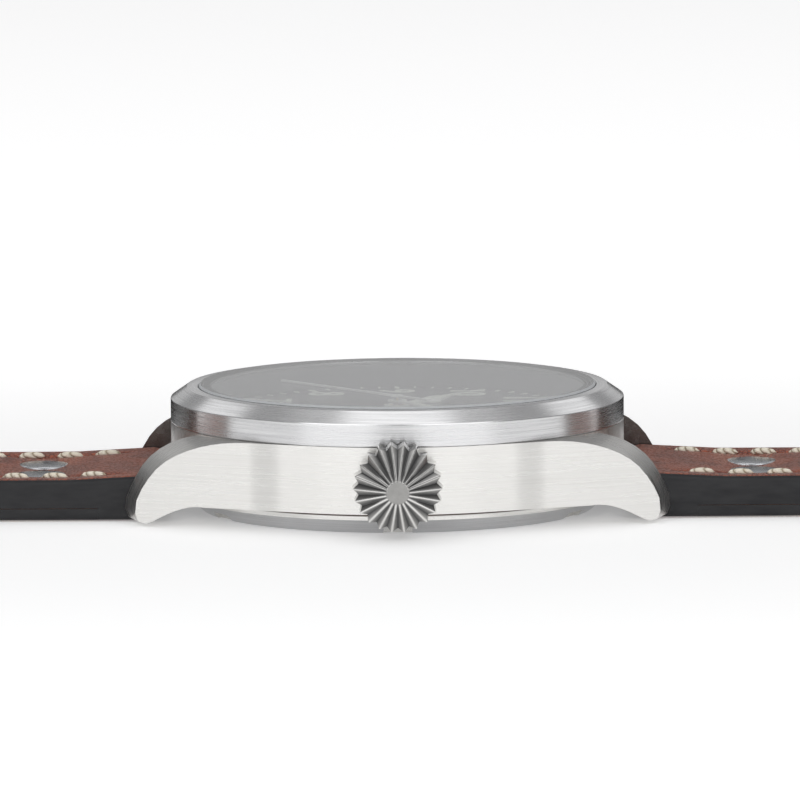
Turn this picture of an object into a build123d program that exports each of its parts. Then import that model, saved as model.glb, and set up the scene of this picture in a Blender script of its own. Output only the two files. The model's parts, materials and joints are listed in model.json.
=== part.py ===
from build123d import *
import os
from math import atan2, cos, degrees, hypot, pi, radians, sin, sqrt

os.makedirs("parts", exist_ok=True)

# The origin is the centre of the flat face of the case back. +Z points out of the dial, +X to the
# crown at three o'clock and +Y to twelve o'clock. Lengths are in millimetres, angles in degrees.

# Clearances that every piece shares
fit = 0.02
run = 0.03
shake = 0.05
overrun = 1.0
full_turn = 360
half_turn = 180
samples = 24

# Case: the back cone, its polished step and the band stack up from the flat back
case_radius = 21.0
back_flat_inset = 2.7
back_flat_radius = case_radius - back_flat_inset
back_cone_inset = 1.4
back_cone_radius = case_radius - back_cone_inset
back_cone_height = 1.35
back_step_inset = 1.0
back_step_radius = case_radius - back_step_inset
back_step_height = 0.62
back_floor = 1.0
back_thread_inset = 2.5
back_thread_radius = case_radius - back_thread_inset
back_thread_height = 1.2
back_wall = 0.9
back_notch_count = 6
back_notch_width = 2.6
back_notch_depth = 0.6
back_notch_length = 3.4
seam = 0.05
band_height = 6.11
band_base = back_cone_height + back_step_height + seam
band_top = band_base + band_height
back_gasket_width = 0.6
back_gasket_height = 0.35
case_wall = 3.1
case_bore_radius = case_radius - case_wall

# Bezel, crystal and the sloped ring round the dial
bezel_side = 2.09
bezel_chamfer = 1.08
bezel_inset = 1.56
bezel_edge = 0.12
bezel_spigot_inset = 1.8
bezel_spigot_radius = case_radius - bezel_spigot_inset
bezel_spigot_height = 0.6
bezel_top = band_top + bezel_side + bezel_chamfer
crystal_inset = 2.6
crystal_radius = case_radius - crystal_inset
crystal_thickness = 1.9
crystal_proud = 0.2
crystal_bevel = 0.18
crystal_gasket_wall = 0.3
crystal_top = bezel_top + crystal_proud
crystal_base = crystal_top - crystal_thickness
glass_ledge_width = 1.1
glass_ledge_radius = crystal_radius - glass_ledge_width
glass_ledge = 0.25
rehaut_slope = 0.6

# Lugs: the outer flank is a smaller copy of the inner profile, so the top face between them slopes.
# Each share pair is a place along the lug's reach and a level of the band's top.
lug_gap = 20.2
bar_past_case = 2.0
bar_reach = case_radius + bar_past_case
lug_past_bar = 1.95
lug_reach = bar_reach + lug_past_bar
flank_past_bar = 0.95
lug_flank_reach = bar_reach + flank_past_bar
lug_flank_start = 21.7
lug_inner_shares = ((0.45, 1.0), (0.75, 0.9), (0.898, 0.668), (0.968, 0.417), (1.0, 0.15))
lug_flank_shares = ((0.36, 1.0), (0.7, 0.88), (0.885, 0.643), (0.969, 0.4), (1.0, 0.14))
lug_foot_shares = ((0.957, 0.031), (0.907, 0.06), (0.842, 0.13), (0.76, 0.205))
lug_foot_start_share = 0.6
lug_top_steps = 12
lug_foot_steps = 10

# Spring bars that hold the strap between the lugs
bar_height = 2.15
bar_radius = 0.9
bar_tip_radius = 0.4
bar_tip_length = 1.0
bar_shoulder = 0.25

# Crown, its tube and the winding stem
stem_height = 4.75
crown_radius = 4.05
crown_valley = 0.5
crown_ridges = 22
crown_disc_radius = 1.03
crown_disc_valley = 0.06
crown_cone_length = 2.5
crown_skirt_length = 1.7
crown_flare = 0.12
crown_collar_radius = 3.3
crown_collar_length = 0.4
crown_gap = 0.3
crown_wall = 0.7
crown_bore_depth = 2.3
crown_pull = 0.9
tube_radius = 1.9
tube_bore_radius = 0.8
tube_depth = 2.3
tube_root = case_radius - tube_depth
tube_proud = 1.9
o_ring_radius = 0.17
stem_radius = 0.6
stem_square = 0.75
stem_square_start = 5.3
stem_square_end = 8.3
stem_pivot_radius = 0.3
stem_pivot_start = 4.2
stem_groove_start = 10.4
stem_groove_width = 0.6
stem_groove_radius = 0.35

# Movement: heights count from the axis of the stem
movement_radius = 12.8
plate_rim = 1.4
plate_thickness = 1.7
plate_over_stem = 1.45
train_room = 1.1
bridge_thickness = 0.6
motion_room = 0.6
dial_thickness = 0.4
dial_inset = 0.3
dial_radius = case_bore_radius - dial_inset
dial_foot_radius = 0.35
dial_foot_length = 1.2
dial_foot_reach = 11.4
dial_foot_angles = (150, 318)
dial_hole_radius = 1.15
ring_wall_height = 3.4
screw_reach = 12.1
screw_radius = 0.35
screw_head_radius = 0.65
screw_head_height = 0.35
screw_length = 1.1
screw_slot = 0.2
barrel_bridge_screws = (-5, 80, 150)
train_bridge_screws = (190, 235)

# Going train: tooth counts, leaf counts and tooth modules
barrel_teeth = 60
centre_leaves = 10
barrel_module = 0.17
centre_teeth = 48
third_leaves = 6
centre_module = 0.155
third_teeth = 45
fourth_leaves = 6
fourth_teeth = 60
escape_leaves = 6
fourth_module = 0.13
cannon_leaves = 10
minute_teeth = 30
minute_leaves = 8
hour_teeth = 32
tooth_tip_share = 0.9
tooth_root_share = 1.1
motion_module = 0.12
setting_teeth = 15
wheel_thickness = 0.15
wheel_gap = 0.12
pinion_height = 0.3
arbor_radius = 0.22
pivot_radius = 0.1
pivot_length = 0.3
spoke_count = 4
spoke_width = 0.35
rim_width = 0.45
hub_radius = 0.8
jewel_radius = 0.45
jewel_height = 0.3

# Where the arbors stand: angles about the centre
barrel_angle = 75
third_angle = 185
escape_angle = 245
minute_angle = 330
setting_angle = 21
reduction_angle = 188.5

# Hollow centre arbor and what turns round it
seconds_arbor_radius = 0.12
centre_bore_radius = 0.16
centre_arbor_radius = 0.3
cannon_radius = 0.46
hour_pipe_radius = 0.75

# Barrel and mainspring
barrel_height = 1.45
barrel_drum_radius = 4.75
barrel_wall = 0.3
barrel_floor = 0.3
barrel_hub_radius = 1.1
barrel_arbor_radius = 0.6
barrel_pivot_radius = 0.45
spring_thickness = 0.12
spring_gap = 0.45
spring_start = 1.4
spring_half_turns = 11

# Winding wheels, clutch and setting levers
ratchet_teeth = 48
ratchet_radius = 3.85
winding_wheel_thickness = 0.25
crown_wheel_reach = 6.8
contrate_radius = 2.3
contrate_width = 0.5
contrate_teeth = 28
contrate_tooth = 0.2
contrate_depth = 0.25
winding_leaves = 12
winding_radius = 1.05
winding_length = 1.3
winding_start = 8.45
clutch_radius = 0.9
clutch_groove_radius = 0.62
clutch_groove_width = 0.5
clutch_length = 1.9
clutch_start = 6.1
click_length = 1.3
click_radius = 0.6
click_angle = 62
click_lean = 24

# Automatic winding
rotor_base = 1.2
rotor_web = 0.2
rotor_radius = 12.4
rotor_rim = 1.6
rotor_rim_height = 1.0
rotor_hub_radius = 2.5
rotor_angle = 250
rotor_teeth = 30
rotor_module = 0.12
rotor_gear_height = 0.2
auto_bridge_base = 1.7
auto_bridge_thickness = 0.4
bearing_radius = 1.1
bearing_bore_radius = 0.35
reverser_leaves = 8
reduction_teeth = 40
reduction_leaves = 6
auto_post_radius = 0.75
auto_posts = ((-7.6, 5.2), (-8.3, -4.0), (7.2, 6.6))

# Escapement and balance
escape_teeth = 15
escape_radius = 2.2
escape_root_share = 0.74
pallet_reach = 2.75
stone_reach = 2.27
stone_angle = 33
stone_width = 0.24
stone_length = 0.55
balance_reach = 6.6
balance_angle = -25
balance_radius = 3.4
balance_rim = 0.4
balance_rim_height = 0.25
balance_lift = 0.2
staff_radius = 0.15
roller_radius = 0.7
roller_height = 0.1
impulse_pin_radius = 0.08
impulse_pin_reach = 0.5
roller_gap = 0.2
fork_width = 0.6
pallet_foot_reach = 3.2
cock_foot_reach = 11.4
cock_foot_angle = -49
cock_head_radius = 1.5
cock_foot_radius = 2.4
hairspring_thickness = 0.08
hairspring_gap = 0.44
hairspring_start = 0.8
hairspring_height = 0.12
hairspring_half_turns = 7
pallet_cock_thickness = 0.25

# Hands, at nine minutes and thirty-eight seconds past ten
hour_hand_angle = 304.8
minute_hand_angle = 57.8
seconds_hand_angle = 228
hour_hand_inset = 8.0
hour_hand_length = dial_radius - hour_hand_inset
hour_hand_width = 1.9
minute_hand_inset = 3.0
minute_hand_length = dial_radius - minute_hand_inset
minute_hand_width = 1.5
seconds_hand_inset = 1.4
seconds_hand_length = dial_radius - seconds_hand_inset
seconds_hand_tail = 5.0
seconds_hand_width = 0.35
hand_thickness = 0.15
hand_gap = 0.3
hand_hub = 0.45
hand_shares = ((0.0, 0.45), (0.12, 0.3), (0.66, 1.0), (1.0, 0.0))

# Strap: each half is measured from its spring bar
strap_width = 19.9
strap_end_width = 18.0
strap_wrap_radius = 2.1
strap_bottom = 0.1
strap_thickness = 3.8
strap_shoulder = 7.0
strap_thin = 2.5
strap_taper_start = 14.0
strap_taper_end = 36.0
strap_lift = 1.15
strap_relief = 0.3
lining_thickness = 1.1
lining_start = 4.5
short_length = 75.0
long_length = 115.0
strap_point = 11.0
hole_count = 7
hole_pitch = 6.5
hole_radius = 1.1
hole_from_end = 26.0
rivet_reach = 10.0
rivet_spread = 3.4
rivet_radius = 2.45
rivet_dome = 0.35
rivet_rim = 0.15
rivet_slope = 0.4
rivet_shank = 0.6

# Buckle and keepers
buckle_wrap_radius = 1.4
buckle_bar_radius = 0.6
buckle_arm = 2.1
buckle_side_gap = 0.3
buckle_length = 11.5
buckle_thickness = 2.2
buckle_front = 3.4
buckle_corner = 2.5
buckle_edge = 0.3
buckle_tip_radius = 0.35
buckle_tip_length = 1.2
tongue_width = 2.4
tongue_thickness = 0.9
tongue_ring = 0.5
tongue_slot = 3.0
tongue_slot_length = 4.5
tongue_rise = 2.5
keeper_wall = 0.9
keeper_width = 5.0
keeper_gap = 0.15
keeper_side_gap = 0.4
keeper_inside_height = 5.6
keeper_edge = 0.35
keeper_to_buckle = 13.0
fixed_keeper_reach = short_length - keeper_to_buckle
keeper_spacing = 15.0
floating_keeper_reach = fixed_keeper_reach - keeper_spacing


# Helpers: each one adds to the piece that is being built


def keep(piece, name):
    """Name a finished piece and write it."""
    piece.part.label = name
    export_step(piece.part, f"parts/{name}.step")


def polar(radius, angle, centre=(0, 0)):
    """A point at a distance and an angle from a centre."""
    return (centre[0] + radius * cos(radians(angle)), centre[1] + radius * sin(radians(angle)))


def bearing_of(start, end):
    """The angle of the line from one centre to another."""
    return degrees(atan2(end[1] - start[1], end[0] - start[0]))


def turned(points, centre=(0, 0), mode=Mode.ADD):
    """A lathe-turned form on an upright axis: points are (radius, height)."""
    with BuildSketch(Plane((centre[0], centre[1], 0), x_dir=(1, 0, 0), z_dir=(0, -1, 0))) as section:
        with BuildLine():
            Polyline(*points, close=True)
        make_face()
    revolve(section.sketch, axis=Axis((centre[0], centre[1], 0), (0, 0, 1)), mode=mode)


def turned_on_stem(points, mode=Mode.ADD):
    """A lathe-turned form on the stem's axis: points are (place along X, radius)."""
    with BuildSketch(Plane((0, 0, stem_height), x_dir=(1, 0, 0), z_dir=(0, -1, 0))) as section:
        with BuildLine():
            Polyline(*points, close=True)
        make_face()
    revolve(section.sketch, axis=Axis((0, 0, stem_height), (1, 0, 0)), mode=mode)


def rod(radius, base, top, centre=(0, 0), mode=Mode.ADD):
    """An upright cylinder between two heights."""
    with BuildSketch(Plane((centre[0], centre[1], base))) as disc:
        Circle(radius)
    extrude(disc.sketch, amount=top - base, mode=mode)


def tube(outer, inner, base, top, centre=(0, 0)):
    """An upright ring between two heights."""
    with BuildSketch(Plane((centre[0], centre[1], base))) as ring:
        Circle(outer)
        Circle(inner, mode=Mode.SUBTRACT)
    extrude(ring.sketch, amount=top - base)


def cross_plane(x, y=0, z=stem_height):
    """A plane square to X, with Y to its right and Z up."""
    return Plane((x, y, z), x_dir=(0, 1, 0), z_dir=(1, 0, 0))


def side_rod(radius, start, end, y=0, z=stem_height, mode=Mode.ADD):
    """A cylinder along X between two places."""
    with BuildSketch(cross_plane(start, y, z)) as disc:
        Circle(radius)
    extrude(disc.sketch, amount=end - start, mode=mode)


def plate(points, base, top, mode=Mode.ADD):
    """A flat form with straight sides between two heights."""
    with BuildSketch(Plane.XY.offset(base)) as outline:
        with BuildLine():
            Polyline(*points, close=True)
        make_face()
    extrude(outline.sketch, amount=top - base, mode=mode)


def bridge(points, base, top, clear=0.0, mode=Mode.ADD):
    """A flat form with straight inner sides, cut round by the edge of the movement."""
    with BuildSketch(Plane.XY.offset(base)) as outline:
        with BuildLine():
            Polyline(*points, close=True)
        make_face()
        if clear:
            offset(amount=clear)
        Circle(movement_radius + clear, mode=Mode.INTERSECT)
    extrude(outline.sketch, amount=top - base, mode=mode)


def hull_plate(circles, base, top):
    """A flat form stretched round a set of (centre, radius) circles and cut by the movement's edge."""
    with BuildSketch(Plane.XY.offset(base)) as outline:
        for centre, radius in circles:
            with Locations(centre):
                Circle(radius)
        make_hull()
        Circle(movement_radius, mode=Mode.INTERSECT)
    extrude(outline.sketch, amount=top - base)


def tooth_points(teeth, module, phase):
    """Pointed teeth: one point on the tip circle and one on the root circle for each tooth."""
    tip = module * (teeth / 2 + tooth_tip_share)
    root = module * (teeth / 2 - tooth_root_share)
    places = [(i + share, radius) for i in range(teeth) for share, radius in ((0, tip), (0.5, root))]
    return [polar(radius, phase + place * full_turn / teeth) for place, radius in places]


def gear(teeth, module, phase, centre, base, height):
    """A toothed disc with one tooth at the phase angle."""
    with BuildSketch(Plane((centre[0], centre[1], base))) as blank:
        with BuildLine():
            Polyline(*tooth_points(teeth, module, phase), close=True)
        make_face()
    extrude(blank.sketch, amount=height)


def spokes(teeth, module, centre, base):
    """Cut the openings between the spokes of a wheel."""
    outer = module * (teeth / 2 - tooth_root_share) - rim_width
    step = full_turn / spoke_count
    with BuildSketch(Plane((centre[0], centre[1], base))) as openings:
        Circle(outer)
        Circle(hub_radius, mode=Mode.SUBTRACT)
        with PolarLocations(outer / 2, spoke_count, start_angle=step / 2):
            Rectangle(outer + overrun, spoke_width, mode=Mode.SUBTRACT)
    extrude(openings.sketch, amount=wheel_thickness, mode=Mode.SUBTRACT)


def arbor(centre, base, top, base_pivot=pivot_length, top_pivot=pivot_length):
    """A turning arbor with a finer pivot at each end."""
    rod(arbor_radius, base, top, centre)
    rod(pivot_radius, base - base_pivot, top + top_pivot, centre)


def meshing_phase(centre, phase, teeth, partner, partner_teeth):
    """The phase that puts the partner's gap over this wheel's tooth on the line of centres."""
    line = bearing_of(centre, partner)
    fraction = ((line - phase) * teeth / full_turn) % 1
    return line + half_turn - (0.5 - fraction) * full_turn / partner_teeth


def circles_meet(first, first_radius, second, second_radius):
    """The meeting point of two circles that lies on the left of the line between their centres."""
    gap = hypot(second[0] - first[0], second[1] - first[1])
    along = (gap**2 + first_radius**2 - second_radius**2) / (2 * gap)
    aside = sqrt(first_radius**2 - along**2)
    line = bearing_of(first, second)
    return polar(aside, line + half_turn / 2, polar(along, line, first))


def coil(start, pitch, thickness, half_turns, centre, base, height, turn=0):
    """A flat strip wound in half turns, each one wider than the one before by half a pitch."""
    step = pitch / 2
    ends = []
    way_out = (cos(radians(turn)), sin(radians(turn)), 0)
    with BuildSketch(Plane((centre[0], centre[1], base), x_dir=way_out, z_dir=(0, 0, 1))) as strip:
        with BuildLine():
            for side in (-thickness / 2, thickness / 2):
                for i in range(half_turns):
                    middle = step * (i % 2)
                    way = 1 - 2 * (i % 2)
                    radius = (start + i * step + side) * way
                    ThreePointArc((middle + radius, 0), (middle, radius), (middle - radius, 0))
                ends.append((middle - radius, 0))
            Line((start - thickness / 2, 0), (start + thickness / 2, 0))
            Line(*ends)
        make_face()
    extrude(strip.sketch, amount=height)
    return start + (half_turns - 1) * step


def coil_gap(start, pitch, thickness, half_turns):
    """The least free gap between neighbouring turns, measured on points of the middle line."""
    step = pitch / 2
    points = []
    for i in range(half_turns):
        for k in range(samples):
            angle = pi * k / samples
            way = 1 - 2 * (i % 2)
            radius = (start + i * step) * way
            points.append((step * (i % 2) + radius * cos(angle), radius * sin(angle)))
    far = samples + samples // 2
    pairs = ((p, q) for i, p in enumerate(points) for q in points[i + far : i + 3 * samples])
    return min(hypot(q[0] - p[0], q[1] - p[1]) for p, q in pairs) - thickness


def screw(centre, seat, head_radius=screw_head_radius, length=screw_length, shank=screw_radius):
    """A slotted screw that runs up from its seat, with its head below."""
    head_base = seat - screw_head_height
    rod(head_radius, head_base, seat, centre)
    rod(shank, seat, seat + length, centre)
    with BuildSketch(Plane((centre[0], centre[1], head_base))) as slot:
        Rectangle(2 * head_radius + overrun, screw_slot, rotation=half_turn / 4)
    extrude(slot.sketch, amount=screw_slot, mode=Mode.SUBTRACT)


def screw_hole(angle, base, top):
    """A clearance hole for a screw near the edge of the movement."""
    rod(screw_radius + fit, base, top, polar(screw_reach, angle), Mode.SUBTRACT)


# Heights of the movement
plate_top = stem_height + plate_over_stem
plate_base = plate_top - plate_thickness
bridge_top = plate_base - train_room
bridge_base = bridge_top - bridge_thickness
dial_seat = plate_top + motion_room
dial_top = dial_seat + dial_thickness
fourth_level = bridge_top + wheel_gap
third_level = fourth_level + wheel_thickness + wheel_gap
centre_level = third_level + wheel_thickness + wheel_gap
barrel_base = centre_level + wheel_thickness + wheel_gap / 2
barrel_top = barrel_base + barrel_height
escape_level = plate_base - wheel_thickness - shake
balance_level = bridge_top + balance_lift
cock_top = escape_level - wheel_gap
cock_base = cock_top - pallet_cock_thickness
winding_level = bridge_top - winding_wheel_thickness - balance_lift
barrel_bridge_base = winding_level + winding_wheel_thickness + shake
barrel_bridge_top = centre_level + wheel_thickness / 2
motion_level = plate_top + shake
motion_step = motion_level + wheel_thickness + shake
ring_base = dial_seat - ring_wall_height
contrate_top = stem_height - winding_radius + contrate_depth / 2
roller_level = escape_level - roller_height - roller_gap
hour_level = dial_top + hand_gap
minute_level = hour_level + hand_thickness + hand_gap
seconds_level = minute_level + hand_thickness + hand_gap

# Places worked out from the teeth
barrel_at = polar(barrel_module * (barrel_teeth + centre_leaves) / 2, barrel_angle)
third_reach = centre_module * (centre_teeth + third_leaves) / 2
third_at = polar(third_reach, third_angle)
third_module = third_reach * 2 / (third_teeth + fourth_leaves)
escape_at = polar(fourth_module * (fourth_teeth + escape_leaves) / 2, escape_angle)
pallet_at = polar(pallet_reach, balance_angle, escape_at)
balance_at = polar(balance_reach, balance_angle, escape_at)
minute_at = polar(motion_module * (cannon_leaves + minute_teeth) / 2, minute_angle)
setting_at = polar(motion_module * (minute_teeth + setting_teeth) / 2, setting_angle, minute_at)
crown_wheel_at = (crown_wheel_reach, 0)
winding_module = 2 * ratchet_radius / ratchet_teeth
crown_wheel_gap = hypot(crown_wheel_reach - barrel_at[0], barrel_at[1])
crown_wheel_teeth = round(2 * (crown_wheel_gap - ratchet_radius) / winding_module)
reduction_at = polar(ratchet_radius + winding_module * reduction_leaves / 2, reduction_angle, barrel_at)
click_reach = winding_module * (ratchet_teeth / 2 + tooth_tip_share) + run
click_at = polar(click_reach + click_length, click_angle, barrel_at)
click_tip = polar(click_reach + screw_slot, click_angle - click_lean, barrel_at)
reverser_at = circles_meet(
    (0, 0),
    rotor_module * rotor_teeth,
    reduction_at,
    rotor_module * (reverser_leaves + reduction_teeth) / 2,
)

# Tooth phases, each one set by the wheel that it meets
centre_phase = meshing_phase(barrel_at, 0, barrel_teeth, (0, 0), centre_leaves)
third_phase = meshing_phase((0, 0), 0, centre_teeth, third_at, third_leaves)
fourth_phase = meshing_phase(third_at, 0, third_teeth, (0, 0), fourth_leaves)
escape_phase = meshing_phase((0, 0), 0, fourth_teeth, escape_at, escape_leaves)
minute_phase = meshing_phase((0, 0), 0, cannon_leaves, minute_at, minute_teeth)
hour_phase = meshing_phase(minute_at, 0, minute_leaves, (0, 0), hour_teeth)
setting_phase = meshing_phase(minute_at, minute_phase, minute_teeth, setting_at, setting_teeth)
crown_wheel_phase = meshing_phase(barrel_at, 0, ratchet_teeth, crown_wheel_at, crown_wheel_teeth)
reduction_phase = meshing_phase(barrel_at, 0, ratchet_teeth, reduction_at, reduction_leaves)
reverser_phase = meshing_phase(reduction_at, 0, reduction_teeth, reverser_at, reverser_leaves)
rotor_phase = meshing_phase(reverser_at, 0, rotor_teeth, (0, 0), rotor_teeth)

# Outlines of the bridges, between the wheels that each one must miss
edge = movement_radius + overrun
barrel_bridge_outline = (
    (-edge, 3.7),
    (-3.1, 3.7),
    (-1.0, 1.5),
    (4.5, -1.9),
    (edge, -1.9),
    (edge, edge),
    (-edge, edge),
)
train_bridge_outline = (
    (-edge, 1.0),
    (-2.6, 1.5),
    (0.6, 1.3),
    (1.6, 0.9),
    (1.6, -1.2),
    (0.0, -4.6),
    (-2.3, -6.6),
    (-5.6, -edge),
    (-edge, -edge),
)


# Case middle: band, lugs, movement bore, and seats for bezel, back, tube and spring bars

lug_root = case_radius * sin(radians(lug_flank_start))


def lug_section(side_plane, start, stretch, reach, top_shares):
    """One closed section of a lug, from its root in the band to its tip."""

    def place(shares):
        return (start + stretch * shares[0] * (reach - lug_root), shares[1] * band_top)

    top = [place(shares) for shares in top_shares]
    foot = [place(shares) for shares in lug_foot_shares]
    foot_start = (place((lug_foot_start_share, 0))[0], band_base)
    with BuildLine() as top_curve:
        Spline(*top, tangents=((1, 0), (0, -1)))
    with BuildLine() as foot_curve:
        Spline(top[-1], *foot, foot_start)
    corners = [(start, band_top)]
    for curve, steps in ((top_curve.line, lug_top_steps), (foot_curve.line, lug_foot_steps)):
        corners += [((curve @ (i / steps)).X, (curve @ (i / steps)).Y) for i in range(steps)]
    corners += [foot_start, (start, band_base)]
    with BuildSketch(side_plane) as section:
        with BuildLine():
            Polyline(*corners, close=True)
        make_face()
    return section.sketch


def lug(side, end):
    """A lug lofted between its inner face and the upright flank that meets the band as a tangent."""
    turn = radians(lug_flank_start)
    inner = Plane((side * lug_gap / 2, 0, 0), x_dir=(0, end, 0), z_dir=(end, 0, 0))
    flank = Plane(
        (side * case_radius * cos(turn), end * lug_root, 0),
        x_dir=(-side * sin(turn), end * cos(turn), 0),
        z_dir=(end * cos(turn), side * sin(turn), 0),
    )
    inner_face = lug_section(inner, lug_root, 1, lug_reach, lug_inner_shares)
    flank_face = lug_section(flank, 0, 1 / cos(turn), lug_flank_reach, lug_flank_shares)
    loft([inner_face, flank_face], ruled=True)


with BuildPart() as case_middle:
    rod(case_radius, band_base, band_top)
    for side in (-1, 1):
        for end in (-1, 1):
            lug(side, end)
    recess_top = band_top + overrun
    rod(case_bore_radius, band_base - overrun, recess_top, mode=Mode.SUBTRACT)
    rod(bezel_spigot_radius + fit, band_top - bezel_spigot_height, recess_top, mode=Mode.SUBTRACT)
    thread_top = back_cone_height + back_step_height + back_thread_height + shake
    rod(back_thread_radius + fit, band_base - overrun, thread_top, mode=Mode.SUBTRACT)
    gasket_outer = back_thread_radius + 2 * back_gasket_width
    with BuildSketch(Plane.XY.offset(band_base)) as gasket_groove:
        Circle(gasket_outer + fit)
        Circle(gasket_outer - back_gasket_width - fit, mode=Mode.SUBTRACT)
    extrude(gasket_groove.sketch, amount=back_gasket_height, mode=Mode.SUBTRACT)
    side_rod(tube_radius + fit, tube_root - overrun, case_radius + overrun, mode=Mode.SUBTRACT)
    for end in (-1, 1):
        relief = strap_wrap_radius + strap_relief
        side_rod(relief, -lug_gap / 4, lug_gap / 4, end * bar_reach, bar_height, Mode.SUBTRACT)
        tip_reach = lug_gap / 2 + bar_tip_length + shake
        side_rod(bar_tip_radius + fit, -tip_reach, tip_reach, end * bar_reach, bar_height, Mode.SUBTRACT)
keep(case_middle, "case_middle")

with BuildPart() as bezel:
    spigot_base = band_top - bezel_spigot_height
    chamfer_base = band_top + bezel_side
    gasket_seat = crystal_radius + crystal_gasket_wall + fit
    turned(
        (
            (case_bore_radius, spigot_base),
            (bezel_spigot_radius, spigot_base),
            (bezel_spigot_radius, band_top),
            (case_radius - bezel_edge, band_top),
            (case_radius, band_top + bezel_edge),
            (case_radius, chamfer_base),
            (case_radius - bezel_inset, bezel_top),
            (gasket_seat, bezel_top),
            (gasket_seat, crystal_base),
            (glass_ledge_radius, crystal_base),
            (glass_ledge_radius, crystal_base - glass_ledge),
            (case_bore_radius, crystal_base - glass_ledge),
        )
    )
keep(bezel, "bezel")

with BuildPart() as crystal:
    turned(
        (
            (0, crystal_base),
            (crystal_radius, crystal_base),
            (crystal_radius, crystal_top - crystal_bevel),
            (crystal_radius - crystal_bevel, crystal_top),
            (0, crystal_top),
        )
    )
keep(crystal, "crystal")

with BuildPart() as dial_ring:
    ring_outer = case_bore_radius - shake
    ring_top = crystal_base - glass_ledge - shake
    turned(
        (
            (ring_outer, dial_top),
            (ring_outer, ring_top),
            (glass_ledge_radius, ring_top),
            (glass_ledge_radius - rehaut_slope, dial_top),
        )
    )
keep(dial_ring, "dial_ring")

with BuildPart() as caseback:
    step_top = back_cone_height + back_step_height
    inner_wall = back_thread_radius - back_wall
    turned(
        (
            (0, 0),
            (back_flat_radius, 0),
            (back_cone_radius, back_cone_height),
            (back_step_radius, back_cone_height),
            (back_step_radius, step_top),
            (back_thread_radius, step_top),
            (back_thread_radius, step_top + back_thread_height),
            (inner_wall, step_top + back_thread_height),
            (inner_wall, back_floor),
            (0, back_floor),
        )
    )
    with BuildSketch(Plane.XY.offset(-overrun)) as notches:
        with PolarLocations(back_cone_radius, back_notch_count):
            Rectangle(back_notch_length, back_notch_width)
    extrude(notches.sketch, amount=overrun + back_notch_depth, mode=Mode.SUBTRACT)
keep(caseback, "caseback")

with BuildPart() as case_gaskets:
    gasket_wall = crystal_radius + crystal_gasket_wall
    tube(gasket_wall, crystal_radius + fit, crystal_base, bezel_top - crystal_bevel)
    gasket_base = back_cone_height + back_step_height
    gasket_top = band_base + back_gasket_height - fit
    tube(gasket_outer, gasket_outer - back_gasket_width, gasket_base, gasket_top)
keep(case_gaskets, "case_gaskets")

# Spring bars between the lugs, with a finer tip at each end
with BuildPart() as spring_bars:
    for end in (-1, 1):
        body_reach = lug_gap / 2 - bar_shoulder
        side_rod(bar_radius, -body_reach, body_reach, end * bar_reach, bar_height)
        tip_reach = lug_gap / 2 + bar_tip_length
        side_rod(bar_tip_radius, -tip_reach, tip_reach, end * bar_reach, bar_height)
keep(spring_bars, "spring_bars")


# Crown: a fluted cone on a fluted skirt, with the tube, the seal and the stem in its bore

crown_base = case_radius + crown_gap
crown_skirt_start = crown_base + crown_collar_length
crown_skirt_end = crown_skirt_start + crown_skirt_length
crown_tip = crown_skirt_end + crown_cone_length
crown_bore_radius = tube_radius + 2 * o_ring_radius + fit


def ridge_face(x, ridge_radius, valley):
    """The zigzag section of the crown, with a valley at its top and bottom."""
    step = full_turn / crown_ridges
    radii = (ridge_radius - valley, ridge_radius)
    with BuildSketch(cross_plane(x)) as zigzag:
        with BuildLine():
            corners = range(2 * crown_ridges)
            Polyline(*[polar(radii[i % 2], half_turn / 2 + i * step / 2) for i in corners], close=True)
        make_face()
    return zigzag.sketch


with BuildPart() as crown:
    side_rod(crown_collar_radius, crown_base, crown_skirt_start)
    rear = ridge_face(crown_skirt_start, crown_radius + crown_flare, crown_valley)
    rim = ridge_face(crown_skirt_end, crown_radius, crown_valley)
    tip = ridge_face(crown_tip, crown_disc_radius, crown_disc_valley)
    loft([rear, rim], ruled=True)
    loft([rim, tip], ruled=True)
    side_rod(crown_bore_radius, crown_base - overrun, crown_base + crown_bore_depth, mode=Mode.SUBTRACT)
keep(crown, "crown")

with BuildPart() as crown_tube:
    turned_on_stem(
        (
            (tube_root, tube_bore_radius),
            (tube_root, tube_radius),
            (case_radius + tube_proud, tube_radius),
            (case_radius + tube_proud, tube_bore_radius),
        )
    )
keep(crown_tube, "crown_tube")

with BuildPart() as crown_gasket:
    ring_at = crown_base + crown_bore_depth / 2 + o_ring_radius
    with BuildSketch(Plane((0, 0, stem_height), x_dir=(1, 0, 0), z_dir=(0, -1, 0))) as o_ring:
        with Locations((ring_at, tube_radius + fit + o_ring_radius)):
            Circle(o_ring_radius - fit)
    revolve(o_ring.sketch, axis=Axis((0, 0, stem_height), (1, 0, 0)))
keep(crown_gasket, "crown_gasket")

with BuildPart() as winding_stem:
    side_rod(stem_pivot_radius, stem_pivot_start, stem_square_start)
    with BuildSketch(cross_plane(stem_square_start)) as square:
        Rectangle(stem_square, stem_square)
    extrude(square.sketch, amount=stem_square_end - stem_square_start)
    groove_end = stem_groove_start + stem_groove_width
    turned_on_stem(
        (
            (stem_square_end, 0),
            (stem_square_end, stem_radius),
            (stem_groove_start, stem_radius),
            (stem_groove_start, stem_groove_radius),
            (groove_end, stem_groove_radius),
            (groove_end, stem_radius),
            (crown_base + crown_bore_depth, stem_radius),
            (crown_base + crown_bore_depth, 0),
        )
    )
keep(winding_stem, "winding_stem")


# Movement frame: ring, plate, bridges, their screws and jewels

with BuildPart() as movement_ring:
    tube(case_bore_radius - shake, movement_radius + shake, ring_base, dial_seat)
    side_rod(stem_radius + crown_wall, movement_radius - overrun, case_bore_radius, mode=Mode.SUBTRACT)
keep(movement_ring, "movement_ring")

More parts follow.
